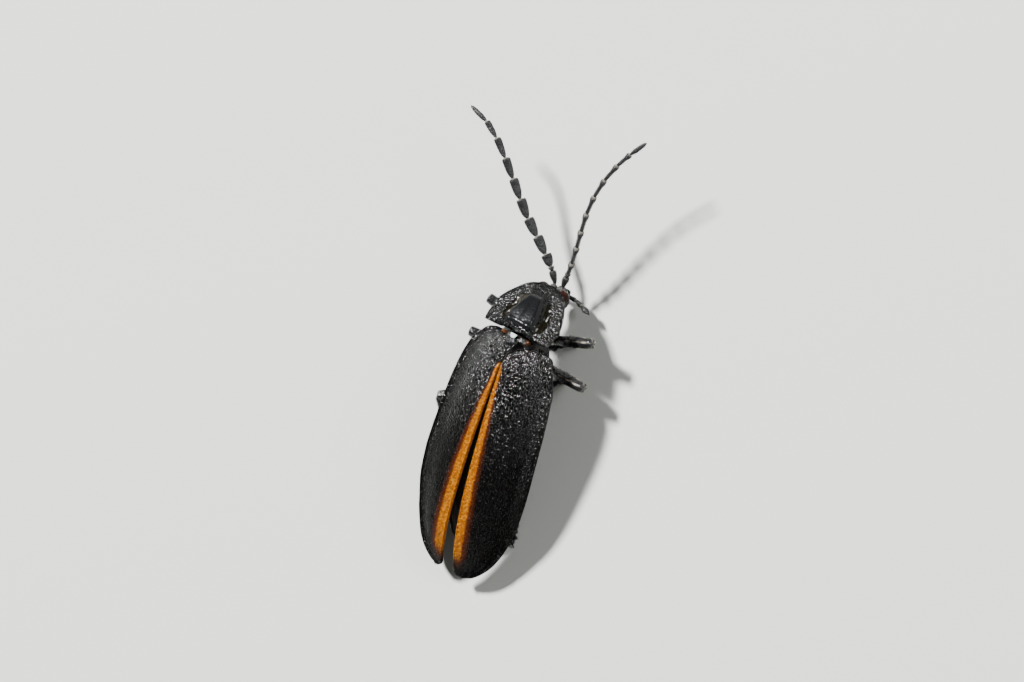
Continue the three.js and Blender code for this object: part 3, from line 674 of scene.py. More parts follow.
SHELL = shell_material()
SHIELD = shield_material()
BODY = skin_material("Body horn", (0.003, 0.0027, 0.0024), (0.009, 0.0085, 0.0075), 0.34, 14000.0, 0.000025)
LEG = skin_material("Leg horn", (0.003, 0.003, 0.0032), (0.009, 0.009, 0.0095), 0.25, 19000.0, 0.00002, 0.33)
FEELER = skin_material("Feeler horn", (0.005, 0.005, 0.005), (0.015, 0.015, 0.016), 0.35, 19000.0, 0.00003)
EYE = eye_material()
WING = wing_material()
JOINT_SKIN = pale_skin_material()
DOWN_DARK = hair_material("Dark down", (0.003, 0.003, 0.003), (0.012, 0.012, 0.012), 0.3)
DOWN_GREY = hair_material("Grey down", (0.04, 0.04, 0.04), (0.16, 0.155, 0.15), 0.35)


# Wing cases

elytron_outer = profile([[0.43, 0.98], [0.29, 1.3], [-0.03, 1.55], [-0.4, 1.74], [-1.1, 1.9],
                         [-2.5, 2.0], [-4.4, 2.03], [-5.4, 1.97], [-6.4, 1.77], [-7.1, 1.54],
                         [-7.6, 1.29], [-8.0, 0.98], [-8.25, 0.68], [-8.38, 0.38]])
elytron_inner = profile([[0.43, 0.55], [0.22, 0.26], [0.0, 0.035], [-0.3, 0.006], [-7.2, 0.012],
                         [-7.9, 0.014], [-8.2, 0.03], [-8.32, 0.1], [-8.38, 0.22]])
back_line = profile([[0.43, -0.46], [0.25, -0.22], [0, -0.02], [-0.5, 0.12], [-1.5, 0.15],
                     [-3, 0.11], [-4.5, 0], [-6, -0.2], [-7.4, -0.58], [-7.9, -0.8], [-8.38, -1.07]])
drop_share = profile([[0.43, 0.35], [0, 0.8], [-1, 1], [-6.2, 0.95], [-7.2, 0.75], [-7.9, 0.4],
                      [-8.38, 0.1]])
COSTA_PLACES = 0.3, 0.52, 0.74
stripe_width = profile([[-0.2, 0.02], [-0.45, 0.09], [-1.5, 0.19], [-3.0, 0.31], [-4.5, 0.39],
                        [-6.5, 0.45], [-7.4, 0.42], [-8.1, 0.2]])


def elytron_top(x, y):
    """Height of a wing case over its plan: the back line, less a fall that grows with the power
    2.4 of the way to the gutter, then a nearly flat flange."""
    gutter = np.maximum(elytron_outer(y) - FLANGE_WIDTH, 0.3)
    inside = np.clip(x / gutter, 0, 1)
    beyond = np.maximum(0, (x - gutter) / FLANGE_WIDTH)
    fall = 0.92 * inside**2.4 + 0.08 * beyond
    return back_line(y) - ELYTRON_DROP * drop_share(y) * fall


def elytron_relief(x, y):
    """Fine forms on the dome: a bead along the suture, three low ribs, a raised line at the
    gutter, a rolled outer edge and a shallow unevenness."""
    outer = elytron_outer(y)
    gutter = np.maximum(outer - FLANGE_WIDTH, 0.3)
    middle = smoothstep(y, -8.0, -6.6) * (1 - smoothstep(y, -0.6, 0.1))
    ribs = sum(bump(x / gutter, place, 0.04) for place in COSTA_PLACES) * 0.006 * middle
    bead = 0.028 * bump(x - elytron_inner(y), 0.035, 0.035) * smoothstep(-y, 0.15, 0.6)
    ridge = 0.034 * bump(x, gutter + 0.02, 0.045) * smoothstep(-y, -0.2, 0.5)
    channel = -0.022 * bump(x, gutter + 0.11, 0.05) * smoothstep(-y, -0.2, 0.5)
    roll = 0.02 * bump(x, outer - 0.015, 0.03)
    uneven = 0.007 * ripple(x, y, 3, 0.16) + 0.012 * ripple(x, y, 4, 0.55)
    return ribs + bead + ridge + channel + roll + uneven


def elytron_surface(side):
    """The upper face as a function of u across, 0 at the suture, and v from front to tip."""
    to_floor = case_frame(side)

    def surface(u, v):
        y = ELYTRON_FRONT + (ELYTRON_TIP - ELYTRON_FRONT) * v
        x = elytron_inner(y) + (elytron_outer(y) - elytron_inner(y)) * u
        return to_floor(stack(side * x, y, elytron_top(x, y) + elytron_relief(x, y)))
    return surface


def build_elytron(name, side, around=236, along=300):
    """A curved plate: at each station along y the section's loop runs over the top from the
    suture to the edge and back below. It thins by 45% over the flange, and to a quarter at the
    front and tip. Masks: the amber stripe, its rusty border, and the gloss of the front, which
    grows towards the shoulders and along the ridge at the gutter."""
    share = even_shares(along)
    share = share - np.sin(2 * np.pi * share) * 0.12
    y = (ELYTRON_FRONT + (ELYTRON_TIP - ELYTRON_FRONT) * share)[:, None]
    across, lift = plate_loop(around)
    inner, outer = elytron_inner(y), elytron_outer(y)
    x = inner + (outer - inner) * across
    rounding = np.sqrt(np.clip(1 - np.abs(2 * share - 1) ** 40, 0.0, 1))[:, None]
    edge = smoothstep(x, outer - 2 * FLANGE_WIDTH, outer)
    half = (ELYTRON_THICK / 2) * (1 - 0.45 * edge) * np.maximum(rounding, 0.25)
    relief = elytron_relief(x, y) * np.where(lift > 0, 1, 0.2)
    z = elytron_top(x, y) - half + half * lift + relief
    rings = case_frame(side)(stack(side * x, y, z))
    points, faces = tube(rings)
    from_suture = x - inner
    edge_noise = 0.01 * ripple(x, y, 11, 0.12) + 0.007 * ripple(x, y, 12, 0.03)
    width = stripe_width(y) * 1.06
    start = smoothstep(-y, 0.28, 0.5)
    end = 1 - smoothstep(-y + 2 * edge_noise, 7.35, 7.95)
    on_top = np.where(lift > -0.3, 1.0, 0.0)
    front = smoothstep(y + 0.3 * ripple(x, y, 13, 0.5), -4.6, 0.5) ** 1.3
    crest = bump(x, np.maximum(outer - FLANGE_WIDTH, 0.3), 0.09) * smoothstep(y, -6.5, -2.5)
    front = np.clip(front + 0.9 * crest, 0, 1)
    core = 1 - smoothstep(from_suture + edge_noise, width * 0.62, width * 0.86)
    halo = 1 - smoothstep(from_suture + edge_noise, width * 0.8, width * 1.35)
    amber = core * start * end * on_top
    rust = halo * start * (1 - smoothstep(-y, 7.6, 8.2)) * on_top
    attributes = {key: ends_with_rings(np.broadcast_to(value, x.shape), along, around)
                  for key, value in (("amber", amber), ("rust", rust), ("front", front))}
    make_mesh(f"{name}_horn", points, faces, SHELL, [name], attributes)


# Hind wings

wing_outer = profile([[-0.9, 0.9], [-2, 1.3], [-4.5, 1.35], [-5.8, 1.1], [-6.6, 0.72],
                      [-7.0, 0.38], [-7.2, 0.12]])
WING_VEINS = (0.06, 0.26, 0.45, 0.63, 0.8, 0.95)


def build_hind_wing(name, side, around=150, along=150):
    """A thin sheet under the wing case, with veins as low ridges that draw together to the tip,
    and folds between them. The two wings lie one over the other along the middle."""
    share = even_shares(along)
    y = (WING_ROOT + (WING_TIP - WING_ROOT) * share)[:, None]
    across, lift = plate_loop(around)
    overlap = 0.1 if side > 0 else 0.14
    lower = 0.045 if side > 0 else 0.0
    inner = -overlap * (1 - share[:, None] ** 3)
    x = inner + (wing_outer(y) - inner) * across
    veins = sum(bump(across, place + 0.05 * np.sin(3.2 * share[:, None] + place * 9), 0.016)
                for place in WING_VEINS)
    folds = 0.02 * np.sin(across * 21 + share[:, None] * 4) + 0.012 * ripple(x, y, 21 + side, 0.25)
    z = elytron_top(np.maximum(x, 0), y) - WING_DEPTH - 0.12 - lower + folds + 0.02 * veins
    z = z + 0.011 * lift * np.sqrt(np.clip(1 - (2 * share[:, None] - 1) ** 20, 0.04, 1))
    rings = rear_frame(stack(side * x, y, z))
    points, faces = tube(rings)
    vein = ends_with_rings(np.clip(veins, 0, 1), along, around)
    make_mesh(f"{name}_membrane", points, faces, WING, [name], {"vein": vein})


# Neck shield

shield_half = profile([[0, 1.29], [0.26, 1.35], [0.7, 1.34], [1.1, 1.2], [1.45, 1.0],
                       [1.75, 0.77], [1.93, 0.52], [2.02, 0.24], [2.05, 0.08]])
disc_half = profile([[0, 0.58], [0.5, 0.55], [1.1, 0.4], [1.5, 0.28], [2.04, 0.2]])


def shield_point(a, b, h):
    """A point of the shield from across, down the slope and out of the slope."""
    down = np.array([0, math.cos(SHIELD_SLOPE), -math.sin(SHIELD_SLOPE)])
    out = np.array([0, math.sin(SHIELD_SLOPE), math.cos(SHIELD_SLOPE)])
    sideways = np.array([1.0, 0, 0])
    return SHIELD_HIND + a[..., None] * sideways + b[..., None] * down + h[..., None] * out


def shield_masks(a, b):
    """Shares of the disc, the dark window each side of it and the folds in the left one, which carry a
    painted highlight.
    """
    half = disc_half(b) + 0.03 * ripple(a, b, 31, 0.2)
    lengthwise = smoothstep(b, 0.06, 0.16) * (1 - smoothstep(b, 1.2, 1.5))
    disc = (1 - smoothstep(np.abs(a), half - 0.05, half + 0.05)) * lengthwise
    outer = half + profile([[0, 0.2], [0.3, 0.26], [0.9, 0.34], [1.3, 0.2], [1.6, 0.05]])(b)
    ragged = 0.04 * ripple(a, b, 32, 0.12)
    window = (smoothstep(np.abs(a), half - 0.02, half + 0.05)
              * (1 - smoothstep(np.abs(a) + ragged, outer - 0.05, outer + 0.04))
              * smoothstep(b, 0.14, 0.26) * (1 - smoothstep(b, 1.25, 1.5)))
    along_fold = a + half + 0.16 + 0.07 * np.sin(b * 6.0) + 0.03 * ripple(a, b, 33, 0.07)
    # Folds in the left window only; the material paints highlight along them
    fold = (bump(along_fold, 0, 0.035) + 0.7 * bump(along_fold, 0.1, 0.03)) * window * (a < 0)
    fold = fold * smoothstep(b, 0.35, 0.55) * (0.6 + 0.4 * np.sin(b * 19) ** 2)
    return disc, window, np.clip(fold, 0, 1)


def shield_height(a, b):
    """Height out of the slope: a low arch, the raised disc with a faint middle groove, two knobs
    and a crumpled hind end, dents at the windows with their folds, a low ridge behind the disc
    and a rolled rim."""
    half = shield_half(b)
    across = np.clip(np.abs(a) / half, 0, 1)
    arch = SHIELD_ARCH * np.sin(np.pi * np.clip(b / SHIELD_LENGTH, 0, 1)) * (1 - 0.5 * across**2)
    edge = disc_half(b)
    on_disc = 1 - smoothstep(np.abs(a), edge - 0.16, edge + 0.1)
    lengthwise = (0.3 + 0.7 * smoothstep(b, -0.12, 0.26)) * (1 - smoothstep(b, 1.2, 1.7))
    groove = 0.018 * bump(a, 0.01, 0.035) * bump(b, 0.75, 0.5)
    knobs = 0.035 * bump(np.abs(a), 0.36, 0.14) * bump(b, 0.2, 0.08)
    disc, window, fold = shield_masks(a, b)
    dent = 0.085 * bump(np.abs(a), edge + 0.2, 0.16) * bump(b, 0.75, 0.5)
    wrinkles = window * (0.012 * ripple(a, b, 34, 0.05) + 0.01 * ripple(a, b, 35, 0.12)) + 0.03 * fold
    rolled = 0.05 * smoothstep(across, 0.9, 0.99) * smoothstep(b, 0.25, 1.2)
    back_rim = 0.03 * bump(b, 0.05, 0.05)
    uneven = 0.008 * ripple(a, b, 36, 0.18)
    crumpled = 0.016 * ripple(a, b, 37, 0.055) * bump(b, 0.15, 0.08) * on_disc
    return (arch + SHIELD_DISC_HEIGHT * on_disc * lengthwise - groove + knobs - dent + wrinkles
            + rolled + back_rim + crumpled + uneven * (1 - disc))


def shield_spot(u, v):
    """Across and down for u and v from 0 to 1, with the hind corners drawn back a little."""
    b = (SHIELD_LENGTH + 0.005) * v
    a = (2 * u - 1) * shield_half(b)
    corner = 0.07 * (1 - v) ** 6 * np.abs(2 * u - 1) ** 4
    sway = 0.03 * (1 - v) ** 6 * np.cos(np.pi * (2 * u - 1) * 1.5)
    return a, b - corner + sway


def shield_surface(u, v):
    """The upper face for u across and v down the slope, from 0 to 1."""
    a, b = shield_spot(u, v)
    return body_frame(shield_point(a, b, shield_height(a, b)))


def build_shield(around=300, along=240):
    """A plate over the slope, thinned to a round edge in front and behind, and by a third at its
    sides. The rim mask marks the smooth line at its edge."""
    share = even_shares(along)
    share = share - np.sin(2 * np.pi * share) * 0.14
    across, lift = plate_loop(around)
    a, b = shield_spot(across, share[:, None])
    near_front = np.clip((share[:, None] - 0.9) / 0.1, 0, 1)
    near_back = np.clip((0.04 - share[:, None]) / 0.04, 0, 1)
    rounding = np.sqrt(np.clip(1 - near_front**3 - near_back**3, 0.03, 1))
    half = (SHIELD_THICK / 2) * rounding * (1 - 0.35 * np.abs(2 * across - 1) ** 6)
    top = shield_height(a, b)
    height = top - half + half * lift
    height = np.where(lift < 0, np.minimum(height, top * 0.8 - half), height)
    points, faces = tube(body_frame(shield_point(a, b, height)))
    disc, window, fold = shield_masks(a, b)
    edge = np.abs(2 * across - 1)
    rim = np.maximum(smoothstep(edge, 0.955, 0.985) * smoothstep(b, 0.9, 1.5),
                     smoothstep(b, 1.93, 1.99))
    above = np.where(lift > 0, 1.0, 0.0)
    masks = (("disc", disc * above), ("window", window * above), ("fold", fold * above),
             ("rim", np.broadcast_to(rim, a.shape)))
    attributes = {key: ends_with_rings(value, along, around) for key, value in masks}
    make_mesh("pronotum_shield", points, faces, SHIELD, ["pronotum"], attributes)


# Trunk

def trunk_rings(y, half, top, bottom, around, square=2.4, power=16):
    """Rings across y, each a blunted oval between its top and bottom. Towards both ends the
    rings shrink by the root of one less a high power of the place along, so the ends are round."""
    angle = turns(around)
    y = np.asarray(y)[:, None]
    place = 2 * (y - y[0]) / (y[-1] - y[0]) - 1
    shrink = np.sqrt(np.clip(1 - np.abs(place) ** power, 0.02, 1))
    across = np.sign(np.cos(angle)) * np.abs(np.cos(angle)) ** (2 / square)
    up = np.sign(np.sin(angle)) * np.abs(np.sin(angle)) ** (2 / square)
    middle = (top(y) + bottom(y)) / 2
    rise = (top(y) - bottom(y)) / 2
    return stack(half(y) * shrink * across, y, middle + rise * shrink * up)


def thorax_parts():
    """Middle and hind thorax as one form with its seams: the middle plate behind the shield,
    side plates parted by grooves, and the breast with a groove along its middle."""
    half = profile([[0.72, 0.68], [0.4, 0.88], [0, 0.98], [-0.6, 1.1], [-1.2, 1.22], [-2.1, 1.25]])
    top = profile([[0.72, -0.5], [0.45, -0.36], [0.1, -0.42], [-0.3, -0.6], [-0.9, -0.9], [-2.1, -1.0]])
    bottom = profile([[0.72, -1.45], [0.2, -1.72], [-0.5, -1.92], [-2.1, -1.95]])
    y = np.linspace(0.72, -2.1, 120)
    rings = trunk_rings(y, half, top, bottom, 128, 2.3)
    middle = np.stack([np.zeros_like(y), y, (top(y) + bottom(y)) / 2], -1)[:, None, :]
    outward = unit((rings - middle) * [1, 0.001, 1])
    x, along, z = rings[..., 0], rings[..., 1], rings[..., 2]
    groove = (0.05 * bump(along + 0.12 * z, -0.28, 0.035) + 0.045 * bump(along - 0.2 * z, -0.9, 0.03)
              + 0.04 * bump(x, 0, 0.04) * (z < -1.5) + 0.03 * bump(along, 0.3, 0.03))
    return rings - outward * groove[..., None]


def build_thorax():
    """The thorax as one closed tube."""
    points, faces = tube(rear_frame(thorax_parts()))
    make_mesh("thorax_horn", points, faces, BODY, ["thorax"])


def build_collar():
    """Front thorax under the shield: a short tube that narrows to the neck, with the fold of the
    front legs' sockets."""
    half = profile([[0.5, 0.72], [0.75, 0.85], [1.0, 0.9], [1.3, 0.75], [1.66, 0.46]])
    top = profile([[0.5, -0.62], [0.75, -0.66], [1.66, -1.56]])
    bottom = profile([[0.5, -1.62], [0.75, -1.74], [1.1, -1.96], [1.4, -2.12], [1.66, -2.2]])
    y = 1.08 - 0.58 * np.cos(np.linspace(0, np.pi, 70))
    rings = trunk_rings(y, half, top, bottom, 96, 2.3, 8)
    x, along, z = rings[..., 0], rings[..., 1], rings[..., 2]
    dents = 0.06 * bump(np.abs(x), 0.38, 0.2) * bump(along, 0.95, 0.2) * (z < -1.6)
    rings[..., 2] += dents
    points, faces = tube(body_frame(rings))
    make_mesh("prothorax_horn", points, faces, BODY, ["prothorax"])


ABDOMEN_FRONT = -1.98
ABDOMEN_END = -6.98
ABDOMEN_RINGS = 7
abdomen_half = profile([[-1.98, 1.24], [-3.5, 1.4], [-5, 1.3], [-6.1, 0.98], [-6.7, 0.62], [-6.98, 0.22]])
abdomen_bottom = profile([[-1.98, -1.93], [-4, -1.87], [-6, -1.82], [-6.98, -1.7]])


def abdomen_top(y):
    """The abdomen's upper line, 1.13 mm below the back line of the wing cases."""
    return back_line(y) - 1.13


def build_abdomen(along=420, around=120):
    """Seven rings that lap one over the next: each swells a little to its hind edge, which
    stands out as a lip, and side folds run along both flanks."""
    y = np.linspace(ABDOMEN_FRONT, ABDOMEN_END, along)
    rings = trunk_rings(y, abdomen_half, abdomen_top, abdomen_bottom, around, 2.4, 60)
    within = (y - ABDOMEN_FRONT) / (ABDOMEN_END - ABDOMEN_FRONT) * ABDOMEN_RINGS % 1
    lip = (-0.055 * (1 - within) ** 1.5 - 0.02 * (within > 0.985))[:, None]
    middle = np.stack([np.zeros_like(y), y, (abdomen_top(y) + abdomen_bottom(y)) / 2], -1)[:, None, :]
    outward = unit((rings - middle) * [1, 0.001, 1])
    angle = turns(around)
    flank = -0.05 * (bump(np.abs(np.cos(angle)), 1, 0.02) * (np.sin(angle) < 0.3))[None, :]
    rings = rings + outward * (lip + flank)[..., None]
    points, faces = tube(rear_frame(rings))
    make_mesh("abdomen_rings", points, faces, BODY, ["abdomen"])


def build_scutellum():
    """The three-cornered plate between the wing cases, a gently domed satin plate."""
    half = profile([[-0.02, 0.01], [0.15, 0.12], [0.34, 0.22], [0.48, 0.25], [0.52, 0.22]])
    along, around = 60, 96
    share = even_shares(along)
    y = (-0.02 + 0.54 * share)[:, None]
    across, lift = plate_loop(around)
    x = (2 * across - 1) * half(y)
    rounding = np.sqrt(np.clip(1 - (2 * share[:, None] - 1) ** 8, 0.05, 1))
    top = -0.03 - 0.25 * y - 0.35 * x**2 + 0.02 * bump(y, 0.4, 0.05)
    z = top - 0.08 + 0.08 * lift * rounding
    points, faces = tube(body_frame(stack(x, y, z)))
    ones = np.ones(len(points))
    zeros = np.zeros(len(points))
    make_mesh("scutellum_plate", points, faces, SHIELD, ["scutellum"],
                      {"disc": ones * 0.4, "window": zeros, "fold": zeros, "rim": zeros})


def build_joint_skin():
    """Soft skin that shows between shield and wing cases: an orange-brown fold each side and a
    whitish three-cornered fleck at the middle plate's front."""
    parts = []
    for side in (-1, 1):
        u, v = np.meshgrid(np.linspace(0, 2 * np.pi, 40, endpoint=False), np.linspace(0.02, 0.98, 24))
        ball = stack(np.cos(u) * np.sin(np.pi * v), np.sin(u) * np.sin(np.pi * v), np.cos(np.pi * v))
        swell = 1 + 0.12 * ripple(u, v * 5, 41 + side, 0.5)
        place = ball * swell[..., None] * [0.1, 0.08, 0.08] + [side * 0.5, 0.52, -0.42]
        points, faces = tube(body_frame(place))
        parts.append((points, faces, {"pale": np.zeros(len(points))}))
    around, along = 48, 30
    share = even_shares(along)[:, None]
    across, lift = plate_loop(around)
    x = (2 * across - 1) * 0.14 * (0.12 + 0.88 * share) - 0.06
    y = 0.4 + 0.24 * share + 0 * x
    z = -0.27 - 0.32 * (y - 0.44) - 0.2 * x**2 + 0.03 * lift
    points, faces = tube(body_frame(stack(x, y, z)))
    parts.append((points, faces, {"pale": np.ones(len(points))}))
    points, faces, extra = join_parts(parts)
    make_mesh("joint_skin", points, faces, JOINT_SKIN, (), extra)


# Limbs and feelers

def path_frames(joints, count, broad):
    """Points, width and height directions at even steps along a smooth path."""
    joints = np.asarray(joints, float)
    reach = np.concatenate([[0], np.cumsum(np.linalg.norm(np.diff(joints, axis=0), axis=1))])
    where = np.linspace(0, reach[-1], count)
    places = np.stack([profile(np.stack([reach, joints[:, i]], -1).tolist())(where) for i in range(3)], -1)
    heading = unit(np.gradient(places, axis=0))
    height = unit(np.cross(heading, broad))
    width = np.cross(height, heading)
    return places, width, height


def limb_rings(joints, wide, deep, broad, along=80, around=40, lump=None):
    """A tube along joints with oval sections. wide and deep give half sizes over t, 0 to 1."""
    places, width, height = path_frames(joints, along, np.asarray(broad, float))
    t = np.linspace(0, 1, along)
    angle = turns(around)
    scale = 1 if lump is None else 1 + lump(t[:, None], angle[None, :])
    sideways = (np.cos(angle)[None, :] * wide(t)[:, None] * scale)[..., None] * width[:, None, :]
    upward = (np.sin(angle)[None, :] * deep(t)[:, None] * scale)[..., None] * height[:, None, :]
    return places[:, None, :] + sideways + upward


FEELERS = {
    "left": {
        "heading": profile([[0, -20], [0.12, -41], [0.3, -45], [0.45, -36], [0.65, -37], [0.8, -47],
                            [0.9, -63], [1, -75]]),
        "climb": profile([[0, 12], [0.3, 9], [0.6, 10], [1, 3]]),
    },
    "right": {
        "heading": profile([[0, 14], [0.12, 12], [0.25, 7], [0.38, 7], [0.5, 12], [0.65, 20],
                            [0.8, 31], [1, 40]]),
        "climb": profile([[0, 14], [0.3, 14], [0.5, 9], [0.7, 2], [1, 0]]),
    },
}
VIEW_SIDE = np.cross(VIEW_RIGHT, VIEW_UP)


def feeler_joints(name):
    """Joints found by walking the segment lengths along a heading and a climb, in degrees."""
    total = sum(SEGMENT_LENGTHS)
    joints = [SOCKET * [SIDES[name], 1, 1] + [0, 0.1, 0]]
    walked = 0.0
    for length in SEGMENT_LENGTHS:
        share = (walked + length / 2) / total
        turn = math.radians(float(FEELERS[name]["heading"](share)))
        rise = math.radians(float(FEELERS[name]["climb"](share)))
        step = np.array([math.sin(turn) * math.cos(rise), math.cos(turn) * math.cos(rise), math.sin(rise)])
        joints.append(joints[-1] + step * length)
        walked += length
    return joints


def feeler_segment(name, number, start, end, along=26, around=28):
    """One segment: narrow at its root, widening to its end, more on the front side, with a
    rounded end face. The first two are a club and a bead."""
    way = unit(end - start)
    if name == "left":
        broad = unit(np.cross(VIEW_SIDE, way))
    else:
        broad = unit(VIEW_SIDE - way * (VIEW_SIDE @ way))
    thin = np.cross(way, broad)
    taper = 1 - 0.5 * max(0.0, (number - 4) / 6) ** 1.4
    t = np.linspace(-0.04, 1.0, along)
    if number == 0:
        wide = profile([[-0.04, 0.06], [0.2, 0.09], [0.7, 0.125], [0.93, 0.11], [1, 0.05]])(t)
        deep = wide * 0.95
        shift = 0 * t
    elif number == 1:
        wide = profile([[-0.04, 0.05], [0.3, 0.08], [0.8, 0.1], [1, 0.05]])(t)
        deep = wide * 0.95
        shift = 0 * t
    elif number == len(SEGMENT_LENGTHS) - 1:
        wide = profile([[-0.04, 0.3], [0.06, 0.6], [0.35, 0.95], [0.75, 0.8], [0.93, 0.4], [1, 0.06]])(t)
        deep = wide * FEELER_THICK / 2 * (0.7 + 0.3 * taper)
        wide = wide * FEELER_WIDTH / 2 * taper
        shift = 0 * t
    else:
        shape = profile([[-0.04, 0.24], [0.03, 0.36], [0.16, 0.64], [0.4, 0.87], [0.82, 1.0], [0.95, 0.93],
                         [1, 0.4]])(t)
        wide = shape * FEELER_WIDTH / 2 * taper
        flare = profile([[-0.04, 0.5], [0.1, 0.72], [0.6, 0.8], [0.88, 1.12], [0.96, 1.05], [1, 0.5]])(t)
        deep = flare * FEELER_THICK / 2 * (0.7 + 0.3 * taper)
        front = -1 if name == "left" else 1
        shift = front * wide * 0.1 * smoothstep(t, 0.1, 0.85)
    angle = turns(around)
    centre = start + (end - start) * t[:, None] + broad * shift[:, None]
    rings = (centre[:, None, :] + broad * (np.cos(angle) * wide[:, None])[..., None]
             + thin * (np.sin(angle) * deep[:, None])[..., None])
    at_root = 0.7 * (1 - smoothstep(t, -0.02, 0.04)) * (number > 1)
    at_end = 0.25 * smoothstep(t, 0.98, 1.0) * (number > 0)
    joint = at_root + at_end
    shade = np.broadcast_to(joint[:, None], rings.shape[:2])
    return rings, np.clip(shade, 0, 1)


def build_feeler(name):
    """Eleven segments and the collar that seats the first, with down on every segment."""
    joints = feeler_joints(name)
    parts, hairs = [], []
    for number in range(len(SEGMENT_LENGTHS)):
        start, end = joints[number], joints[number + 1]
        rings, joint = feeler_segment(name, number, start, end)
        rings = body_frame(rings)
        points, faces = tube(rings)
        parts.append((points, faces, {"joint": ends_with_rings(joint, *rings.shape[:2])}))
        hairs.append(ring_hairs(rings, 150, 500 + number + 40 * SIDES[name], (0.035, 0.065), 0.0035,
                                tile=(0.09 * number, 0.0 if name == "left" else 0.5, 0.08)))
    collar = profile([[0, 0.13], [0.5, 0.12], [0.62, 0.06], [1, 0.055]])
    neck = limb_rings([joints[0] - [0, 0.24, 0], joints[0] - [0, 0.1, 0], joints[0] + [0, 0.03, 0]],
                      collar, collar, [1, 0, 0], 20, 24)
    points, faces = tube(body_frame(neck))
    parts.append((points, faces, {"joint": np.full(len(points), 0.05)}))
    points, faces, extra = join_parts(parts)
    nodes = [f"antenna_{name}_{length}" for length in ("scape", "lower", "upper")]
    make_mesh(f"antenna_{name}_segments", points, faces, FEELER, nodes, extra)
    coat(f"antenna_{name}_down", hairs, DOWN_GREY)


def ring_hairs(rings, count, seed, lengths, width, tile):
    """Hairs over a tube given as rings: roots between rings, leaning towards its far end."""
    rng = np.random.default_rng(seed)
    along, around = rings.shape[:2]
    v = rng.uniform(0.02, 0.94, count) * (along - 2)
    u = rng.uniform(0, around, count)
    i, k = v.astype(int), u.astype(int) % around
    s, w = (v - i)[:, None], (u - u.astype(int))[:, None]
    a, b = rings[i, k], rings[i, (k + 1) % around]
    c, d = rings[i + 1, k], rings[i + 1, (k + 1) % around]
    root = (a * (1 - w) + b * w) * (1 - s) + (c * (1 - w) + d * w) * s
    middle = rings[i].mean(1)
    ahead = unit(rings[i + 1].mean(1) - middle)
    outward = root - middle
    normal = unit(outward - ahead * np.einsum("ij,ij->i", outward, ahead)[:, None])
    way = ahead + HAIR_RISE * normal + rng.normal(0, 0.12, (count, 3))
    left, low, size = tile
    patches = stack(left + u / around * size, low + v / along * size)
    return root, normal, way, rng.uniform(*lengths, count), np.full(count, width), patches


# Legs: anchor, hip and knee in the body frame, ankle and toe on the floor

LEGS = {
    "front_left": ((-0.38, 0.98, -1.7), (-0.45, 0.4, -2.12), (-2.05, 0.97, -1.5),
                   (-1.3, 0.22), (-2.1, -0.78)),
    "front_right": ((0.38, 0.98, -1.7), (0.45, 0.4, -2.12), (2.25, 1.11, -1.5),
                    (1.0, 0.86), (-0.1, 0.2)),
    "middle_left": ((-0.45, -0.35, -1.8), (-0.6, -0.6, -2.15), (-2.39, -0.39, -1.5),
                    (-1.5, -1.05), (-2.25, -2.1)),
    "middle_right": ((0.45, -0.35, -1.8), (0.55, -0.6, -2.15), (2.4, -0.44, -1.5),
                     (1.0, -0.46), (0.05, -1.35)),
    "hind_left": ((-0.6, -1.6, -1.8), (-0.85, -2.05, -2.1), (-2.77, -2.95, -1.35),
                  (-2.22, -4.35), (-2.45, -5.6)),
    "hind_right": ((0.55, -1.6, -1.8), (0.65, -2.1, -2.15), (0.95, -3.95, -2.12),
                   (1.06, -5.3), (1.22, -6.45)),
}
FOOT_JOINTS = 0.0, 0.3, 0.52, 0.68, 0.84, 1.0
FOOT_HALF_WIDTHS = 0.1, 0.105, 0.115, 0.155, 0.07
FOOT_HALF_HEIGHTS = 0.1, 0.09, 0.085, 0.07, 0.07
ANKLE_HEIGHT = 0.13
TOE_HEIGHT = 0.07
FOOT_SIDES = 24
FEMUR_RINGS = 90
FEMUR_RIDGES = 5
RIDGE_TURN = 0.6
# Share of pale tone painted as highlight on the right thighs' ridges
RIDGE_SHINE = 0.55

# For each part of the leg with hairs: how many on each of its shapes, and from which length to which
LEG_HAIRS = {"femur": (190, (0.03, 0.06)), "tibia": (420, (0.06, 0.1)), "tarsus": (80, (0.04, 0.08))}


def leg_places(leg):
    """Anchor, hip, knee, ankle and toe of a leg, all in the floor frame."""
    anchor, hip, knee, ankle, toe = leg
    upper = body_frame(np.array([anchor, hip, knee], float))
    lower = floor_frame(np.array([[*ankle, ANKLE_HEIGHT], [*toe, TOE_HEIGHT]], float))
    return [*upper, *lower]


def femur_rings(hip, knee):
    """The thigh: a tube with five low ridges, widest near its middle and rounded at the knee."""
    sink = unit(knee - hip) * 0.04
    half = profile([[0, 0.1], [0.06, 0.15], [0.15, 0.155], [0.45, 0.2], [0.75, 0.19], [0.9, 0.18],
                    [0.975, 0.17], [0.992, 0.12], [1, 0.05]])

    def lump(t, angle):
        ridges = 0.05 * np.cos(FEMUR_RIDGES * angle + RIDGE_TURN) * smoothstep(t, 0.1, 0.3)
        return ridges + 0.015 * np.sin(23 * t + angle)

    path = [hip, (hip + knee) / 2 + [0, 0, 0.03], knee + sink]
    return limb_rings(path, half, half, [0, 0, 1], FEMUR_RINGS, 44, lump)


def trochanter_rings(hip, knee):
    """The short swollen piece between the hip and the thigh."""
    way = unit(knee - hip)
    half = profile([[0, 0.07], [0.3, 0.15], [0.7, 0.17], [1, 0.1]])
    return limb_rings([hip - way * 0.12, hip + way * 0.12, hip + way * 0.36], half, half, [0, 0, 1], 26, 32)


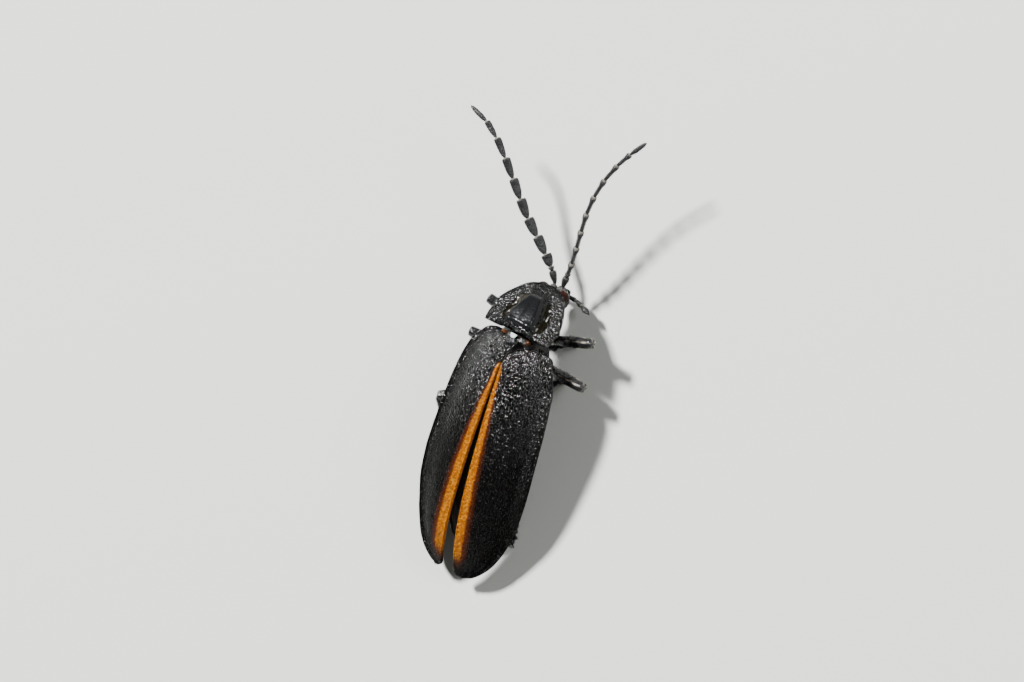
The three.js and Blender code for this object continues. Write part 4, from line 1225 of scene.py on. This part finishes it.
def tibia_rings(knee, ankle):
    """The shin: a slightly bowed tube that widens towards the foot."""
    half = profile([[0, 0.07], [0.05, 0.125], [0.14, 0.115], [0.5, 0.125], [0.9, 0.15],
                    [0.97, 0.15], [1, 0.08]])
    bow = (knee + ankle) / 2 + np.array([0, 0, 0.04])

    def lump(t, angle):
        return 0.02 * np.sin(4 * angle + 7 * t)

    return limb_rings([knee, bow, ankle], half, half, [0.3, 1, 0.1], 80, 36, lump)


def coxa_rings(anchor, hip):
    """The leg's root, a blunt tube from its anchor in the body that narrows to the hip."""
    half = profile([[0, 0.26], [0.5, 0.28], [0.85, 0.22], [1, 0.1]])
    return limb_rings([anchor, (anchor + hip) / 2, hip], half, half, [1, 0, 0], 40, 40)


def foot_parts(ankle, toe):
    """Five foot segments, each widening to its end, the fourth split in two lobes, and a pair of
    curved claws. Every segment rests on the floor."""
    way = unit((toe - ankle) * [1, 1, 0])
    across = np.array([way[1], -way[0], 0])
    reach = np.linalg.norm((toe - ankle)[:2])
    parts = []
    for number, (wide, deep) in enumerate(zip(FOOT_HALF_WIDTHS, FOOT_HALF_HEIGHTS)):
        start, end = FOOT_JOINTS[number] * reach, FOOT_JOINTS[number + 1] * reach
        t = np.linspace(0, 1, 22)
        shape = profile([[0, 0.35], [0.12, 0.55], [0.7, 1.0], [0.92, 0.92], [1, 0.3]])(t)
        lobes = (0,) if number != 3 else (-1, 1)
        for lobe in lobes:
            spread = lobe * wide * 0.55 * smoothstep(t, 0.2, 0.9)
            half_width = wide * shape * (1 if lobe == 0 else 0.55)
            half_height = np.maximum(deep * (0.4 + 0.6 * shape), 0.02)
            centre = (ankle * [1, 1, 0] + way * (start + (end - start) * 1.06 * t)[:, None]
                      + across * spread[:, None] + half_height[:, None] * [0, 0, 1])
            angle = turns(FOOT_SIDES)
            rings = (centre[:, None, :] + across * (np.cos(angle) * half_width[:, None])[..., None]
                     + np.array([0, 0, 1]) * (np.sin(angle) * half_height[:, None])[..., None])
            parts.append(rings)
    tip = ankle * [1, 1, 0] + way * reach
    for side in (-1, 1):
        bend = [tip + [0, 0, 0.07],
                tip + way * 0.07 + across * side * 0.07 + [0, 0, 0.085],
                tip + way * 0.13 + across * side * 0.1 + [0, 0, 0.04],
                tip + way * 0.14 + across * side * 0.1 + [0, 0, 0.01]]
        claw = profile([[0, 0.03], [0.5, 0.022], [1, 0.004]])
        parts.append(limb_rings(bend, claw, claw, [0, 0, 1.0], 20, 14))
    return parts


def spur_rings(ankle, knee, side):
    """A short spur at the end of the shin."""
    down = unit(ankle - knee)
    out = unit(np.cross(down, [0, 0, 1])) * side
    half = profile([[0, 0.022], [1, 0.004]])
    start = ankle - down * 0.08 + out * 0.1
    return limb_rings([start, start + down * 0.08 + out * 0.03, start + down * 0.16 + out * 0.04], half, half,
                      [0.1, 0.2, 1], 10, 10)


def ridge_shine(part, shapes, strength):
    """A share of pale tone on the thigh's five ridges, which stands for the bright reflections
    there: the fourth power of the ridge's cosine, coming and going along it; none elsewhere."""
    shares = []
    for rings in shapes:
        along, around = rings.shape[:2]
        share = np.zeros((along, around))
        if part == "femur" and along == FEMUR_RINGS:
            t = np.linspace(0, 1, along)[:, None]
            angle = turns(around)
            crest = np.clip(np.cos(FEMUR_RIDGES * angle + RIDGE_TURN), 0, 1)[None, :] ** 4
            streak = 0.55 + 0.45 * np.sin(31 * t + 4 * angle[None, :])
            share = strength * crest * streak * smoothstep(t, 0.2, 0.4)
        shares.append(ends_with_rings(share, along, around))
    return np.concatenate(shares)


def build_legs():
    """Six legs of four pieces each, with hairs on all but the roots. Hairs whose tips would lie
    less than 0.01 mm above the floor are left out."""
    for number, (name, leg) in enumerate(LEGS.items()):
        anchor, hip, knee, ankle, toe = leg_places(leg)
        pieces = {
            "coxa": [coxa_rings(anchor, hip)],
            "femur": [trochanter_rings(hip, knee), femur_rings(hip, knee)],
            "tibia": [tibia_rings(knee, ankle), spur_rings(ankle, knee, -1), spur_rings(ankle, knee, 1)],
            "tarsus": foot_parts(ankle, toe),
        }
        hairs = []
        for place, (part, shapes) in enumerate(pieces.items()):
            points, faces, extra = join_parts([(*tube(rings), {}) for rings in shapes])
            # The right thighs get painted highlight on their ridges, on the side where the light falls; the
            # left thighs get none
            extra["joint"] = ridge_shine(part, shapes, RIDGE_SHINE if "right" in name else 0.0)
            make_mesh(f"leg_{name}_{part}_horn", points, faces, LEG, [f"leg_{name}_{part}"], extra)
            if part == "coxa":
                continue
            count, lengths = LEG_HAIRS[part]
            chosen = {"femur": shapes[1:], "tibia": shapes[:1], "tarsus": shapes[:6]}[part]
            for turn, rings in enumerate(chosen):
                source = ring_hairs(rings, count, 900 + 50 * number + 10 * place + turn, lengths, 0.003,
                                    tile=(0.16 * number, 0.3 * place + 0.04 * turn, 0.1))
                above = (source[0] + unit(source[2]) * source[3][:, None])[:, 2] > 0.01
                hairs.append(tuple(value[above] for value in source))
        coat(f"leg_{name}_hairs", hairs, DOWN_DARK)


# Head

PALP_RINGS = 90
PALP_SIDES = 30


def ball_rings(centre, half, along=60, around=72, shape=None):
    """An ellipsoid as rings round its y axis, pushed out by shape(direction) where given."""
    v = even_shares(along) * np.pi
    u = turns(around)
    ring = np.sin(v)[:, None]
    ways = stack(np.cos(u)[None, :] * ring, -np.cos(v)[:, None], np.sin(u)[None, :] * ring)
    swell = 1 if shape is None else 1 + shape(ways)[..., None]
    return centre + ways * half * swell


def skull_shape(ways):
    """The face between the feelers is hollowed, the brow rises over it, and the temples swell."""
    x, y, z = ways[..., 0], ways[..., 1], ways[..., 2]
    face = y > 0
    hollow = -0.10 * bump(x, 0, 0.2) * bump(z, -0.05, 0.35) * face
    brow = 0.05 * bump(z, 0.45, 0.2) * bump(x, 0, 0.5) * face
    cheeks = 0.04 * bump(np.abs(x), 0.75, 0.25) * bump(z, -0.5, 0.3)
    seam = -0.03 * bump(x, 0, 0.03) * (z > 0.2)
    return hollow + brow + cheeks + seam + 0.01 * ripple(x * 3, z * 3, 61, 0.4)


def build_head():
    """Skull, neck, upper lip and its line, two curved jaws and the lower lip."""
    skull = ball_rings(HEAD_CENTRE, HEAD_HALF, 90, 110, skull_shape)
    neck_half = profile([[0, 0.4], [1, 0.44]])
    neck_path = [[0, 1.15, -1.98], [0, 1.4, -2.05], [0, 1.7, -2.12]]
    neck = limb_rings(neck_path, neck_half, neck_half, [1, 0, 0], 30, 60)
    lip = ball_rings(np.array([0, 1.93, -2.5]), np.array([0.22, 0.2, 0.13]), 30, 40,
                     lambda ways: -0.12 * bump(ways[..., 0], 0, 0.15) * (ways[..., 2] < 0))
    chin = ball_rings(np.array([0, 1.78, -2.66]), np.array([0.2, 0.2, 0.08]), 24, 36)
    shapes = [skull, neck, lip, chin]
    for side in (-1, 1):
        bend = [[side * 0.18, 1.82, -2.6], [side * 0.2, 1.93, -2.66],
                [side * 0.12, 2.0, -2.7], [side * 0.02, 2.01, -2.72]]
        jaw = profile([[0, 0.07], [0.4, 0.055], [0.8, 0.03], [1, 0.008]])
        shapes.append(limb_rings(bend, jaw, jaw, [0, 0, 1.0], 34, 24))
        lower = [[side * 0.08, 1.8, -2.7], [side * 0.13, 1.9, -2.76], [side * 0.16, 1.98, -2.79]]
        small = profile([[0, 0.03], [0.4, 0.04], [0.5, 0.03], [0.8, 0.045], [1, 0.008]])
        shapes.append(limb_rings(lower, small, small, [0, 0, 1.0], 24, 18))
    points, faces, _ = join_parts([tube(body_frame(rings)) for rings in shapes])
    make_mesh("head_horn", points, faces, BODY, ["head"], {"joint": np.zeros(len(points))})


def build_eyes_and_palps():
    """On each side a ball for the eye and a palp of four segments, pinched at its joints."""
    for name, side in SIDES.items():
        eye = ball_rings(EYE_CENTRE * [side, 1, 1], np.array([1, 1, 1.08]) * EYE_RADIUS, 70, 90)
        points, faces = tube(body_frame(eye))
        make_mesh(f"eye_{name}_lens", points, faces, EYE, [f"eye_{name}"])
        bend = [[side * 0.12, 1.82, -2.68], [side * 0.5, 1.78, -2.72],
                [side * 0.85, 1.72, -2.62], [side * 1.27, 1.62, -2.5]]
        wide = profile([[0, 0.06], [0.12, 0.075], [0.27, 0.09], [0.32, 0.06], [0.36, 0.075], [0.55, 0.1],
                        [0.6, 0.065], [0.64, 0.08], [0.8, 0.125], [0.92, 0.075], [1, 0.012]])
        deep = profile([[0, 0.06], [0.27, 0.085], [0.32, 0.06], [0.55, 0.09], [0.6, 0.065],
                        [0.8, 0.1], [1, 0.012]])
        rings = body_frame(limb_rings(bend, wide, deep, [0, 0, 1.0], PALP_RINGS, PALP_SIDES))
        points, faces = tube(rings)
        t = np.repeat(np.linspace(0, 1, PALP_RINGS), PALP_SIDES)
        joint = 0.35 * (bump(t, 0.32, 0.012) + bump(t, 0.6, 0.012))
        joint = np.concatenate([joint, [0, 0]])
        make_mesh(f"palp_{name}_segments", points, faces, FEELER, [f"palp_{name}"],
                  {"joint": joint})


# Coats of fine hair

def build_coats():
    """Down on the wing cases and on the shield outside its disc and windows."""
    for name, side in SIDES.items():
        surface = elytron_surface(side)
        source = scatter(surface, 5200, 71 + side, (0.06, 0.1), 0.0026, lean=(0.0, 1.0), rise=0.25,
                         jitter=0.22, tile=(0.02, 0.02, 0.9))
        coat(f"elytron_{name}_down", [outward_facing(source, side)], DOWN_DARK)

    def rim_only(u, v):
        disc, window, _ = shield_masks(*shield_spot(u, v))
        return np.where(disc + window > 0.2, 0, 1)

    source = scatter(shield_surface, 1900, 75, (0.045, 0.08), 0.0026, lean=(0.0, 0.8), rise=0.4,
                     keep=rim_only, tile=(0.02, 0.02, 0.9))
    coat("pronotum_down", [source], DOWN_DARK)


def outward_facing(source, side):
    """On the right the surface's normals point in. They and the hairs are turned out again."""
    root, normal, way, length, width, patches = source
    if side > 0:
        normal, way = -normal, way - 2 * normal * np.einsum("ij,ij->i", way, normal)[:, None]
    return root, normal, way, length, width, patches


for case_name, case_side in SIDES.items():
    build_elytron(f"elytron_{case_name}", case_side)
    build_hind_wing(f"hindwing_{case_name}", case_side)
    build_feeler(case_name)
build_shield()
build_thorax()
build_collar()
build_abdomen()
build_scutellum()
build_joint_skin()
build_head()
build_eyes_and_palps()
build_legs()
build_coats()


# Camera, floor and light

def to_world(direction):
    """A direction of the body frame as it stands in the scene."""
    return PITCH_TURN @ direction


def add_camera():
    """A far camera, placed so that the scutellum falls on its spot in the picture at the scale
    in pixels per millimetre."""
    right, up = to_world(VIEW_RIGHT), to_world(VIEW_UP)
    toward = np.cross(right, up)
    scutellum = body_frame(np.zeros((1, 3)))[0]
    aside = (PICTURE_WIDTH / 2 - SCUTELLUM_PX[0]) / SCALE_PX_PER_MM
    above = (SCUTELLUM_PX[1] - PICTURE_HEIGHT / 2) / SCALE_PX_PER_MM
    place = scutellum + right * aside + up * above + toward * CAMERA_DISTANCE
    data = bpy.data.cameras.new("camera")
    data.sensor_width = SENSOR_MM
    data.lens = SENSOR_MM * CAMERA_DISTANCE / (PICTURE_WIDTH / SCALE_PX_PER_MM)
    data.clip_start = 0.01
    data.clip_end = 10.0
    camera = bpy.data.objects.new("camera", data)
    turn = Matrix([[*row] for row in np.stack([right, up, toward], -1)]).to_4x4()
    camera.matrix_world = Matrix.Translation(Vector(place * MM)) @ turn
    bpy.context.scene.collection.objects.link(camera)
    bpy.context.scene.camera = camera


FLOOR_COLOUR = 0.41, 0.42, 0.395, 1
WORLD_STRENGTH = 0.1

# Lamps: direction from the beetle, distance and size in metres, power in watts
LAMPS = {
    "key": ((-0.47, 0.40, 0.78), 0.45, 0.06, 11.2),
    "fill": ((0.75, 0.45, 0.5), 0.5, 0.16, 2.6),
    "back": ((0.1, -0.95, 0.45), 0.6, 0.4, 0.4),
}


def add_floor():
    """A pale dull sheet under the feet."""
    bpy.ops.mesh.primitive_plane_add(size=3.0, location=(0, 0, 0))
    floor = bpy.context.object
    floor.name = "floor"
    material = bpy.data.materials.new("Pale floor")
    material.use_nodes = True
    shader = material.node_tree.nodes["Principled BSDF"]
    shader.inputs["Base Color"].default_value = FLOOR_COLOUR
    shader.inputs["Roughness"].default_value = 0.8
    floor.data.materials.append(material)


def add_light(name, direction, distance, size, power):
    """A square area light in that direction from the beetle, aimed at it."""
    data = bpy.data.lights.new(name, "AREA")
    data.size = size
    data.energy = power
    lamp = bpy.data.objects.new(name, data)
    place = Vector(direction).normalized() * distance
    lamp.location = place
    lamp.rotation_euler = place.to_track_quat("Z", "Y").to_euler()
    bpy.context.scene.collection.objects.link(lamp)


add_camera()
add_floor()
for lamp_name, lamp_values in LAMPS.items():
    add_light(lamp_name, *lamp_values)
world = bpy.data.worlds.new("studio")
world.use_nodes = True
world.node_tree.nodes["Background"].inputs["Color"].default_value = (1, 1, 1, 1)
world.node_tree.nodes["Background"].inputs["Strength"].default_value = WORLD_STRENGTH
bpy.context.scene.world = world
